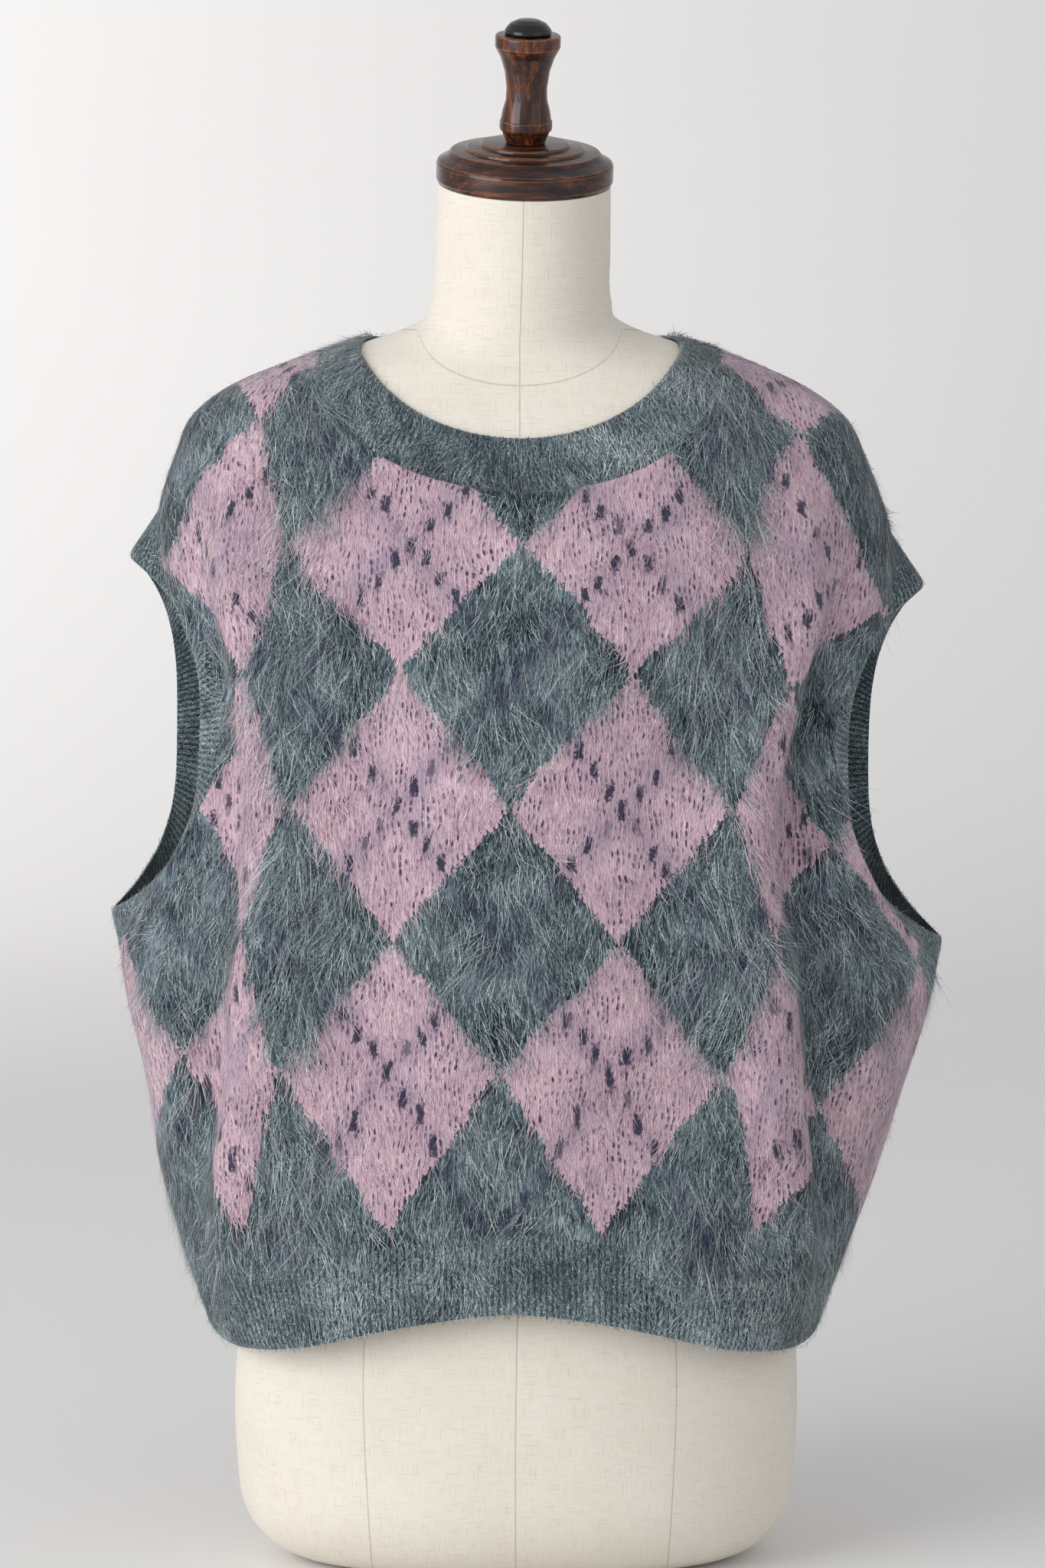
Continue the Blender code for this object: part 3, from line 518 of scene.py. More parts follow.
# Folds are ridges (+) and troughs (-) that run down the cloth, by their angle at 3 heights.
FOLD_HEIGHTS = (0.15, 0.38, 0.60)
FRONT_FOLDS = (
    # low, middle, high angle, top_z, low_z, half_width_deg, depth
    (-58, -38, -50, 0.640, 0.190, 7.0, 0.013),
    (-72, -50, -62, 0.580, 0.200, 8.0, -0.021),
    (60, 34, 46, 0.620, 0.190, 6.5, 0.015),
    (73, 44, 57, 0.580, 0.200, 7.5, -0.024),
    (0, 0, 0, 0.280, 0.080, 15.0, -0.006),
    (-16, -20, -24, 0.560, 0.200, 9.0, -0.004),
    (14, 19, 26, 0.540, 0.200, 9.0, -0.005),
)
BACK_FOLDS = (
    (-55, -42, -46, 0.600, 0.190, 9.0, 0.010),
    (-74, -60, -62, 0.560, 0.210, 12.0, -0.010),
    (58, 40, 44, 0.610, 0.190, 9.0, 0.011),
    (76, 57, 60, 0.560, 0.210, 11.0, -0.011),
    (4, 2, 0, 0.420, 0.100, 14.0, -0.007),
)


# %% Points of the hanging cloth
def fold_depth(folds, angle, z):
    """How far the folds move the cloth in or out."""
    moved = np.zeros(np.broadcast(angle, z).shape)
    for low_angle, middle, high, top, low, half_width, depth in folds:
        path = tuple(zip(FOLD_HEIGHTS, (low_angle, middle, high)))
        centre = read(path, z)[..., 0]
        across = np.exp(-(((np.degrees(angle) - centre) / half_width) ** 2))
        along = ease(low - FOLD_FADE, low + FOLD_FADE, z)
        along = along * ease(top + FOLD_FADE, top - FOLD_FADE, z)
        moved += depth * across * along
    return moved * (1 - np.abs(np.sin(angle)) ** 8)


def cloth(angle, z, side, folds):
    """Points of the cloth before it rests on the form. side is -1 in front, 1 behind."""
    middle, width, front, back, squareness = np.moveaxis(read(VEST_SECTIONS, z), -1, 0)
    across, outwards = oval(angle, width, front if side < 0 else back, squareness)
    moved = fold_depth(folds, angle, z)
    x = middle + across + moved * np.sin(angle)
    y = SEAM_Y + side * (outwards + moved * np.cos(angle))
    return slipped(np.stack([x, y, np.broadcast_to(z, x.shape)], axis=-1))


def slipped(points):
    """The points, lower on the +X side between the hem and the top of the shoulder."""
    x, _, z = np.moveaxis(points, -1, 0)
    lowered = points.copy()
    lowered[..., 2] -= SLIP * ease(*SLIP_X, x) * ease(*SLIP_Z, z) * ease(*SLIP_TOP_Z, z)
    return lowered


def rest_on_form(points, close):
    """Moves points out to the form's surface, and those that lie close to it onto it."""
    moved = points.copy()
    for place in np.ndindex(points.shape[:-1]):
        point = Vector(points[place])
        foot, normal, _, distance = form_surface.find_nearest(point)
        away = point - foot
        outside = away.dot(normal) > 0
        if close[place] == 0 and outside and distance > REST_GAP:
            continue
        height = max(distance if outside else -distance, REST_GAP)
        height = REST_GAP + (height - REST_GAP) * (1 - close[place])
        direction = away.normalized() if outside and distance > 1e-5 else normal
        moved[place] = foot + direction * height
    return moved


# %% Rows and columns of the panels
def column_places():
    """The columns' shares of the way from the centre to a side, closest at the folds."""
    even = np.arange(-HALF_COLUMNS, HALF_COLUMNS + 1) / HALF_COLUMNS
    return even + COLUMN_CROWD * np.sin(2 * np.pi * even)


def column_angle(share):
    """The angle round a section at this share of the way from its centre to a side."""
    near = np.abs(share) ** COLUMN_BEND
    far = (1 - np.abs(share)) ** COLUMN_BEND
    return np.pi / 2 * near / (near + far)


def column_share(angle):
    """The reverse of column_angle."""
    near = np.clip(angle / (np.pi / 2), 0, 1) ** (1 / COLUMN_BEND)
    far = (1 - np.clip(angle / (np.pi / 2), 0, 1)) ** (1 / COLUMN_BEND)
    return near / (near + far)


def neck_turn(share):
    """The angle round the neck at a column whose share runs to the neck's last column."""
    return np.pi / 2 * np.clip(share, -1, 1)


def shoulder_seam(share):
    """The seam's height at this share of the way from the neckband to the armhole."""
    level = np.linspace(VEST_SECTIONS[-1][0], SHOULDER_END_Z, 60)
    width = read(VEST_SECTIONS, level)[:, 1]
    run = np.concatenate([[0], np.cumsum(np.hypot(np.diff(width), np.diff(level)))])
    return np.interp(share, run / run[-1], level)


def panel_grid(side):
    """The net of one panel: rows from the hem rib to the top, columns from -X to +X."""
    front = side < 0
    share = column_places()
    size, turn = np.abs(share), np.sign(share)
    neck_share = np.abs(np.arange(-HALF_COLUMNS, HALF_COLUMNS + 1)) / NECK_COLUMNS

    low_z = read(HEM_EDGE, size)[:, 0 if front else 1] + HEM_RIB
    drop = NECK_FRONT_DROP if front else NECK_BACK_DROP
    fall = NECK_SEAM_FALL + (drop + NECK_SEAM_REACH) * np.cos(neck_turn(neck_share))
    seam_share = np.clip((neck_share - 1) / (HALF_COLUMNS / NECK_COLUMNS - 1), 0, 1)
    top_z = np.where(neck_share < 1, NECK_SIDE_Z - fall, shoulder_seam(seam_share))

    rise = np.linspace(0, np.pi, ARMHOLE_ROWS + 1)[1:]
    middle = (UNDERARM_Z + SHOULDER_END_Z) / 2
    reach = (SHOULDER_END_Z - UNDERARM_Z) / 2
    side_z = np.concatenate(
        [
            np.linspace(low_z[-1], UNDERARM_Z, SIDE_ROWS + 1),
            middle - reach * np.cos(rise),
        ]
    )
    widest = np.radians(ARMHOLE_FRONT_ANGLE if front else ARMHOLE_BACK_ANGLE)
    bite = np.sin(rise[:-1]) ** ARMHOLE_POINT
    edge = np.pi / 2 - widest * np.concatenate([np.zeros(SIDE_ROWS + 1), bite, [0]])
    up = (side_z - side_z[0]) / (side_z[-1] - side_z[0])

    z = low_z + (top_z - low_z) * up[:, None]
    level = ease(LEVEL_FROM, 1, size) * (ease(0, 0.3, up) * ease(1, 0.85, up))[:, None]
    z = z + (side_z[:, None] - z) * level
    squeeze = 1 - (1 - column_share(edge)[:, None]) * size**SQUEEZE
    _, width, _, _, squareness = np.moveaxis(read(VEST_SECTIONS, z), -1, 0)
    across, _ = oval(column_angle(size * squeeze), width, 0, squareness)
    band_x = (NECK_HALF_WIDTH + NECK_SEAM_REACH) * np.sin(neck_turn(neck_share))
    top_x = np.where(neck_share < 1, band_x, read(VEST_SECTIONS, top_z)[:, 1])
    gather = ease(GATHER_FROM, 1, up)[:, None] ** (1 + GATHER_LAST * size**4)
    across = across + (top_x - across) * gather
    angle = np.arcsin(np.clip(across / width, 0, 1) ** (squareness / 2))
    grid = cloth(turn * angle, z, side, FRONT_FOLDS if front else BACK_FOLDS)

    close = ease(*REST_Z, grid[..., 2]) * ease(*REST_X, np.abs(grid[..., 0]))
    return rest_on_form(grid, close)


# %% Rows of the bands
def between(rows, count):
    """This many rows on a smooth curve through the given rows."""
    spread = np.linspace(0, 1, len(rows))
    table = np.concatenate([spread[:, None], rows.reshape(len(rows), -1)], axis=1)
    return read(table, np.linspace(0, 1, count)).reshape(count, *rows.shape[1:])


def hem_rows(panel, side):
    """The hem rib's rows, from its free edge up to the panel's first row."""
    share = column_places()
    low_z = read(HEM_EDGE, np.abs(share))[:, 0 if side < 0 else 1]
    angle = np.sign(share) * column_angle(share)
    folds = FRONT_FOLDS if side < 0 else BACK_FOLDS
    edge = cloth(angle, low_z, side, folds)
    middle = cloth(angle, low_z + HEM_RIB / 2, side, folds)
    return between(np.stack([edge, middle, panel[0]]), BAND_ROWS)


def armband_rows(front, back, hand):
    """The armband's rows, from the panels out to the free edge, round from the underarm."""
    column = -1 if hand > 0 else 0
    attached = np.concatenate([front[SIDE_ROWS:, column], back[-2:SIDE_ROWS:-1, column]])
    turn = np.linspace(0, 2 * np.pi, 2 * ARMHOLE_ROWS, endpoint=False)
    before = np.sin(turn) >= 0
    middle = np.where(before, ARM_EDGE_FRONT_X, ARM_EDGE_BACK_X)
    end = np.where(np.cos(turn) > 0, ARM_EDGE_LOW_X, ARM_EDGE_HIGH_X)
    reach = np.where(before, ARM_EDGE_FRONT_Y, ARM_EDGE_BACK_Y)
    out = middle + (end - middle) * np.abs(np.cos(turn)) ** ARM_EDGE_POINT
    level = ARM_EDGE_Z - ARM_EDGE_HALF_HEIGHT * np.cos(turn)
    x = read(VEST_SECTIONS, level)[:, 0] + hand * out
    free = np.stack([x, SEAM_Y + reach * np.abs(np.sin(turn)), level], axis=1)
    return between(np.stack([attached, slipped(free)]), BAND_ROWS)


def neckband_rows(front, back):
    """The neckband's rows, from the panels in to the free edge, round from -X in front."""
    low, high = HALF_COLUMNS - NECK_COLUMNS, HALF_COLUMNS + NECK_COLUMNS
    attached = np.concatenate([front[-1, low : high + 1], back[-1, high - 1 : low : -1]])
    turn = np.linspace(-np.pi / 2, 3 * np.pi / 2, 4 * NECK_COLUMNS, endpoint=False)
    ahead = np.cos(turn) >= 0
    drop = np.where(ahead, NECK_FRONT_DROP, NECK_BACK_DROP)
    reach = np.where(ahead, NECK_FRONT_Y, NECK_BACK_Y)
    free = np.stack(
        [
            NECK_HALF_WIDTH * np.sin(turn),
            SEAM_Y + reach * np.abs(np.cos(turn)),
            NECK_SIDE_Z - drop * np.abs(np.cos(turn)),
        ],
        axis=1,
    )
    rows = between(np.stack([attached, free]), BAND_ROWS)
    return rest_on_form(rows, np.ones(rows.shape[:-1]))


# %% The net of every knitted piece
EVEN_ROUNDS = 16


def evened(grid):
    """The grid with its inner points evened out, so that no row or column shows as a crease."""
    for _ in range(EVEN_ROUNDS):
        beside = grid[1:-1, :-2] + grid[1:-1, 2:] + grid[:-2, 1:-1] + grid[2:, 1:-1]
        grid[1:-1, 1:-1] = grid[1:-1, 1:-1] / 2 + beside / 8
    return rest_on_form(grid, np.zeros(grid.shape[:2]))


front_grid, back_grid = panel_grid(-1), panel_grid(1)
back_grid[: SIDE_ROWS + 1, (0, -1)] = front_grid[: SIDE_ROWS + 1, (0, -1)]
neck_start = HALF_COLUMNS - NECK_COLUMNS
back_grid[-1, : neck_start + 1] = front_grid[-1, : neck_start + 1]
back_grid[-1, -neck_start - 1 :] = front_grid[-1, -neck_start - 1 :]
neck_grid = neckband_rows(front_grid, back_grid)
across = 2 * NECK_COLUMNS
front_grid[-1, neck_start : neck_start + across + 1] = neck_grid[0, : across + 1]
back_grid[-1, neck_start] = neck_grid[0, 0]
back_grid[-1, neck_start + across : neck_start : -1] = neck_grid[0, across:]
front_grid, back_grid = evened(front_grid), evened(back_grid)
grids = {
    "front": front_grid,
    "back": back_grid,
    "hem_front": hem_rows(front_grid, -1),
    "hem_back": hem_rows(back_grid, 1),
    "neckband": neck_grid,
    "armband_left": armband_rows(front_grid, back_grid, 1),
    "armband_right": armband_rows(front_grid, back_grid, -1),
}
RINGS = ("neckband", "armband_left", "armband_right")
print({name: grid.shape[:2] for name, grid in grids.items()})

# %% [markdown]
# ## Which way is out
#
# Pieces that are sewn together turn the same way at their seam, so the direction out of the
# cloth is worked out for all of them at once, and evened out a little.

# %% Directions out of the cloth
SHOULDER_LEVEL = 0.69  # above this, out is also up
SMOOTH_ROUNDS = 12


def outward_directions(grids):
    """For each grid, the direction out of the cloth at each of its points."""
    crosses, corner_ids = [], []
    place_of, ids = {}, {}
    for name, grid in grids.items():
        flat = np.round(grid.reshape(-1, 3), 6)
        numbers = [place_of.setdefault(tuple(p), len(place_of)) for p in flat]
        ids[name] = np.array(numbers).reshape(grid.shape[:2])
    for name, grid in grids.items():
        wide, wide_ids = grid, ids[name]
        if name in RINGS:
            wide = np.concatenate([grid, grid[:, :1]], axis=1)
            wide_ids = np.concatenate([wide_ids, wide_ids[:, :1]], axis=1)
        a, b, c, d = wide[:-1, :-1], wide[:-1, 1:], wide[1:, 1:], wide[1:, :-1]
        cross = np.cross(c - a, d - b).reshape(-1, 3)
        away = ((a + b + c + d) / 4 - (0, SEAM_Y, 0)).reshape(-1, 3)
        away[:, 2] = np.where(away[:, 2] > SHOULDER_LEVEL, 0.1, 0)
        crosses.append(cross * np.sign(np.sum(cross * away, axis=1))[:, None])
        corner_ids.append(grid_faces(wide_ids))
    cross, corners = np.concatenate(crosses), np.concatenate(corner_ids)
    sums = np.zeros((len(place_of), 3))
    for corner in corners.T:
        np.add.at(sums, corner, cross)
    for _ in range(SMOOTH_ROUNDS):
        middle = unit(sums)[corners].sum(axis=1)
        sums = np.zeros_like(sums)
        for corner in corners.T:
            np.add.at(sums, corner, middle)
    return {name: unit(sums)[numbers] for name, numbers in ids.items()}


outs = outward_directions(grids)
print("directions for", sum(out[..., 0].size for out in outs.values()), "points")

# %% [markdown]
# ## The flat cut
#
# A knitter shapes each panel flat. Flattening the worn panel again gives every point its
# place on that flat piece, in metres, and the stitches and the argyle are laid out there. So
# the diamonds lean and narrow where the cloth turns away, as real ones do.

# %% Flattening the panels
FLAT_STEP = 4  # the net is flattened at every fourth row and column, which is enough
FLAT_LEVEL_Z = 0.450  # at this height the flat piece's own height is the same
UNWRAP_ROUNDS = 40


def flattened(grid):
    """The grid's places on the flat piece: across from its centre line, and up."""
    row_ids = np.unique(np.append(np.arange(0, len(grid), FLAT_STEP), len(grid) - 1))
    column_ids = np.arange(0, grid.shape[1], FLAT_STEP)
    net = grid[np.ix_(row_ids, column_ids)]
    numbers = np.arange(net[..., 0].size).reshape(net.shape[:2])
    piece = mesh_piece("flat_cut", net.reshape(-1, 3), grid_faces(numbers))
    piece.data.uv_layers.new(name="flat")
    bpy.context.view_layer.objects.active = piece
    bpy.ops.object.mode_set(mode="EDIT")
    bpy.ops.mesh.select_all(action="SELECT")
    bpy.ops.uv.unwrap(method="MINIMUM_STRETCH", iterations=UNWRAP_ROUNDS)
    bpy.ops.object.mode_set(mode="OBJECT")
    places = np.zeros(2 * len(piece.data.loops))
    corners = np.zeros(len(piece.data.loops), int)
    piece.data.uv_layers["flat"].uv.foreach_get("vector", places)
    piece.data.loops.foreach_get("vertex_index", corners)
    flat = np.zeros((numbers.size, 2))
    flat[corners] = places.reshape(-1, 2)
    flat = flat.reshape(*numbers.shape, 2)
    bpy.data.objects.remove(piece)

    # Its centre line is turned upright, and its lengths are made those of the worn panel.
    centre = numbers.shape[1] // 2
    upright = unit(flat[-1, centre] - flat[0, centre])
    sideways = np.array([upright[1], -upright[0]])
    flat = flat - flat[0, centre]
    flat = np.stack([flat @ sideways, flat @ upright], axis=-1)
    flat *= np.sign(flat[0, -1, 0] - flat[0, 0, 0]) * np.array((1, 0)) + np.array((0, 1))
    worn = np.linalg.norm(np.diff(net, axis=0), axis=-1).sum()
    flat *= worn / np.linalg.norm(np.diff(flat, axis=0), axis=-1).sum()
    flat[..., 1] += FLAT_LEVEL_Z - np.interp(FLAT_LEVEL_Z, net[:, centre, 2], flat[:, centre, 1])

    # Back to all the rows and columns.
    every_row, every_column = np.arange(len(grid)), np.arange(grid.shape[1])
    by_column = flat.transpose(1, 0, 2).reshape(len(column_ids), -1)
    table = np.concatenate([column_ids[:, None], by_column], axis=1)
    wide = read(table, every_column).reshape(len(every_column), len(row_ids), 2)
    by_row = wide.transpose(1, 0, 2).reshape(len(row_ids), -1)
    table = np.concatenate([row_ids[:, None], by_row], axis=1)
    return read(table, every_row).reshape(len(every_row), len(every_column), 2)


def flat_size(flat):
    """The width, length and area of the flat piece."""
    a, b, c, d = flat[:-1, :-1], flat[:-1, 1:], flat[1:, 1:], flat[1:, :-1]
    one, two = c - a, d - b
    area = np.abs(one[..., 0] * two[..., 1] - one[..., 1] * two[..., 0]).sum() / 2
    width, length = np.ptp(flat[..., 0]), np.ptp(flat[..., 1])
    return float(width), float(length), float(area)


flats = {"front": flattened(front_grid), "back": flattened(back_grid)}
for name, flat in flats.items():
    width, length, area = flat_size(flat)
    print(f"{name} panel, flat: {width:.3f} by {length:.3f} m, {area:.4f} square metres")

# %% [markdown]
# ## The knitted pieces
#
# Each piece is a thin wall on its net: the net is its inner face, and the outer face is one
# thickness of knit further out. The plain bands are ribbed: their outer face has a real
# ridge for each rib, and it rounds over to a soft lip at the free edge. A rib is too small
# to model twice, so the inner face stays plain.


# %% Walls of knit
def walled(name, inner, outer, ring, cloth_inner, cloth_outer):
    """A closed wall between two grids that may have different numbers of columns."""
    inner_rows, outer_rows = len(inner), len(outer)
    last = -1 if ring else None
    inner_ids = np.arange(inner[:, :last, 0].size).reshape(inner_rows, -1)
    outer_ids = np.arange(outer[:, :last, 0].size).reshape(outer_rows, -1) + inner_ids.size
    points = np.concatenate([inner[:, :last].reshape(-1, 3), outer[:, :last].reshape(-1, 3)])
    maps = [places[:, :last].reshape(-1, 2) for places in (cloth_inner, cloth_outer)]
    if ring:
        inner_ids = np.concatenate([inner_ids, inner_ids[:, :1]], axis=1)
        outer_ids = np.concatenate([outer_ids, outer_ids[:, :1]], axis=1)
    faces = grid_faces(inner_ids).tolist() + grid_faces(outer_ids).tolist()
    for row in (0, -1):
        faces += zipped(inner_ids[row], outer_ids[row])
    if not ring:
        for column in (0, -1):
            faces += zipped(inner_ids[:, column], outer_ids[:, column])
    return mesh_piece(name, points, faces, maps={"cloth": np.concatenate(maps)})


def zipped(first, second):
    """Triangles between two lines of point numbers that may have different counts."""
    first, second = first.tolist(), second.tolist()
    faces, i, j = [], 0, 0
    while i < len(first) - 1 or j < len(second) - 1:
        ahead = (i + 1) * (len(second) - 1) <= (j + 1) * (len(first) - 1)
        if j == len(second) - 1 or (i < len(first) - 1 and ahead):
            faces.append((first[i], first[i + 1], second[j]))
            i += 1
        else:
            faces.append((first[i], second[j + 1], second[j]))
            j += 1
    return faces


def resampled(grid, places):
    """The grid's values at these places along its columns."""
    steps = np.arange(grid.shape[1])
    low = np.clip(np.floor(places).astype(int), 0, len(steps) - 2)
    part = (places - low)[None, :, None]
    return grid[:, low] * (1 - part) + grid[:, low + 1] * part


# %% The two argyle panels
panels = {}
for side in ("front", "back"):
    grid, out = grids[side], outs[side]
    outer = grid + out * KNIT
    piece = walled(f"{side}_panel", grid, outer, False, flats[side], flats[side])
    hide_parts(f"vest_{side}")
    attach(piece, "root")
    panels[side] = piece
    print(piece.name, len(piece.data.polygons), "faces")

# %% The ribbed bands
RIB_POINTS = 4  # columns for each rib: the bottom, a side, the top and a side
RIB_SHAPE = (0.0, 0.75, 1.0, 0.75)
LIP = 0.16  # share of a band's height over which its free edge rounds over
LIP_CLOSED = 0.97  # how far it rounds over
FLUSH = 0.14  # share of its height over which the ribs begin, from its seam
ROW_PLACES = (0.0, 0.16, 0.34, 0.52, 0.70, 0.84, 0.92, 0.97, 1.0)


def band(name, key, node, free_row, trough):
    """A ribbed band. free_row is the row of its grid that is its free edge."""
    ring = key in RINGS
    grid, out = grids[key], outs[key]
    if free_row == 0:
        grid, out = grid[::-1], out[::-1]
    if ring:
        grid = np.concatenate([grid, grid[:, :1]], axis=1)
        out = np.concatenate([out, out[:, :1]], axis=1)
    spread = np.linspace(0, 1, len(grid))
    shape = (len(ROW_PLACES), *grid.shape[1:])
    table = np.concatenate([spread[:, None], grid.reshape(len(grid), -1)], axis=1)
    inner = read(table, ROW_PLACES).reshape(shape)
    table = np.concatenate([spread[:, None], out.reshape(len(out), -1)], axis=1)
    away = unit(read(table, ROW_PLACES).reshape(shape))

    run = run_length(inner[len(inner) // 2])
    ribs = round(run[-1] / RIB_PITCH)
    places = np.interp(np.linspace(0, run[-1], ribs * RIB_POINTS + 1), run, np.arange(len(run)))
    fine, fine_away = resampled(inner, places), unit(resampled(away, places))
    rib = np.resize(RIB_SHAPE, len(places))
    if not ring:
        rib[-1] = 0
    places_up = np.array(ROW_PLACES)
    plain = 1 - ease(0, FLUSH, places_up)[:, None]  # at its seam it is as thick as the panel
    height = KNIT - (KNIT - trough) * (1 - rib[None, :]) * (1 - plain)
    turned_over = np.clip((places_up - 1 + LIP) / LIP, 0, 1)
    lip = np.sqrt(1 - LIP_CLOSED * turned_over**2)
    outer = fine + fine_away * (height * lip[:, None])[..., None]

    up = run_length(inner).mean(axis=1)
    along_fine = np.linspace(0, ribs * RIB_PITCH, len(places))  # whole ribs, for the finish
    along = run * along_fine[-1] / run[-1]
    cloth_inner = np.stack(np.broadcast_arrays(along[None, :], up[:, None]), axis=-1)
    cloth_outer = np.stack(np.broadcast_arrays(along_fine[None, :], up[:, None]), axis=-1)
    piece = walled(name, inner, outer, ring, cloth_inner, cloth_outer)
    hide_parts(node)
    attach(piece, "root")
    print(f"{name}: {ribs} ribs, {run[-1]:.3f} by {up[-1]:.3f} m, {len(piece.data.polygons)} faces")
    return piece, (float(run[-1]), float(up[-1]))


BANDS = (
    # name, grid, node, free row
    ("hem_band_front", "hem_front", "hem_rib_front", 0),
    ("hem_band_back", "hem_back", "hem_rib_back", 0),
    ("neck_band", "neckband", "neckband", -1),
    ("arm_band_left", "armband_left", "armband_left", -1),
    ("arm_band_right", "armband_right", "armband_right", -1),
)
bands = {}
for name, key, node, free_row in BANDS:
    trough = NECK_TROUGH if name == "neck_band" else RIB_TROUGH
    bands[name] = band(name, key, node, free_row, trough)

# %% [markdown]
# ## Linen
#
# Linen is a plain weave of uneven threads. Its look is the weave's fine grid, the thicker
# threads (slubs) that cross it here and there, and a matt, warm off-white. The real threads
# are 0.6 mm apart, too fine to see from here, so the weave is drawn at twice that. The seams
# between the panels are narrow grooves, placed by the distances that the form's points keep.

# %% Linen material
THREAD = 0.0012  # as it is drawn
FORM_SEAM = 0.0003  # half the width of a seam's groove


def new_material(name):
    """A node material and its tree, with only the shader and the output."""
    material = bpy.data.materials.new(name)
    material.use_nodes = True
    return material, material.node_tree, material.node_tree.nodes["Principled BSDF"]


linen, tree, shader = new_material("linen_canvas")
place = add(tree, "ShaderNodeUVMap", uv_map="linen")
split = add(tree, "ShaderNodeSeparateXYZ", {0: place})

threads = []
for axis in (0, 1):
    turns = add(tree, MATH, {0: split.outputs[axis], 1: np.pi / THREAD}, operation="MULTIPLY")
    sine = add(tree, MATH, {0: turns}, operation="SINE")
    threads.append(add(tree, MATH, {0: sine}, operation="ABSOLUTE"))
weave = add(tree, MATH, {0: threads[0], 1: threads[1]}, operation="MULTIPLY")

# Slubs are long and thin along each of the two thread directions.
slubs = []
for scales in ((70, 1500, 1), (1500, 90, 1)):
    drawn = add(tree, VECTOR, {0: place, 1: scales}, operation="MULTIPLY")
    noise = add(tree, NOISE, {"Vector": drawn, "Scale": 1.0, "Detail": 2.0})
    ranges = {"Value": noise, "From Min": 0.56, "From Max": 0.76}
    slubs.append(add(tree, RANGE, ranges))
slub = add(tree, MATH, {0: slubs[0], 1: slubs[1]}, operation="MAXIMUM")
cloud = add(tree, NOISE, {"Vector": place, "Scale": 14.0, "Detail": 3.0})

base = add(
    tree,
    MIX,
    {"Factor": cloud, "A": linear("#ddd5c8"), "B": linear("#ebe5da")},
    data_type="RGBA",
)
faint = add(tree, MATH, {0: slub, 1: 0.32}, operation="MULTIPLY")
dark = {"Factor": faint, "A": base, "B": linear("#b3a288")}
dark = add(tree, MIX, dark, data_type="RGBA")

# A seam is a narrow groove, with painted shade in it: its colour is a little darker where the two
# edges turn in.
grooves = []
for name in ("centre", "princess", "collar"):
    away = add(tree, "ShaderNodeAttribute", attribute_name=name)
    away = add(tree, MATH, {0: away.outputs["Fac"]}, operation="ABSOLUTE")
    ranges = {
        "Value": away,
        "From Min": FORM_SEAM * 0.4,
        "From Max": FORM_SEAM * 2.2,
        "To Min": 1.0,
        "To Max": 0.0,
    }
    grooves.append(add(tree, RANGE, ranges, interpolation_type="SMOOTHSTEP"))
groove = add(tree, MATH, {0: grooves[0], 1: grooves[1]}, operation="MAXIMUM")
groove = add(tree, MATH, {0: groove, 1: grooves[2]}, operation="MAXIMUM")
# Painted shade: inside the groove, the linen's colour is mixed towards a darker linen.
faint = add(tree, MATH, {0: groove, 1: 0.5}, operation="MULTIPLY")
seam = {"Factor": faint, "A": dark, "B": linear("#b0a796")}
seam = add(tree, MIX, seam, data_type="RGBA")
tree.links.new(seam.outputs[2], shader.inputs["Base Color"])
relief = add(tree, MATH, {0: weave, 1: 0.35}, operation="MULTIPLY")
relief = add(tree, MATH, {0: slub, 1: 0.5, 2: relief}, operation="MULTIPLY_ADD")
relief = add(tree, MATH, {0: groove, 1: -1.2, 2: relief}, operation="MULTIPLY_ADD")
bump = add(tree, "ShaderNodeBump", {"Strength": 0.5, "Distance": 0.0004, "Height": relief})
tree.links.new(bump.outputs[0], shader.inputs["Normal"])
shader.inputs["Roughness"].default_value = 0.88
shader.inputs["Sheen Weight"].default_value = 0.12
shader.inputs["Specular IOR Level"].default_value = 0.3
form.data.materials.append(linen)

# %% [markdown]
# ## Stained and lacquered wood
#
# A turned finial shows long grain down its length, and a cap shows it across the disc. Dark
# stain sinks into the open grain, and a clear lacquer lies over it. Where hands have rubbed
# the turned edges, the stain is thinner and the wood shows amber.


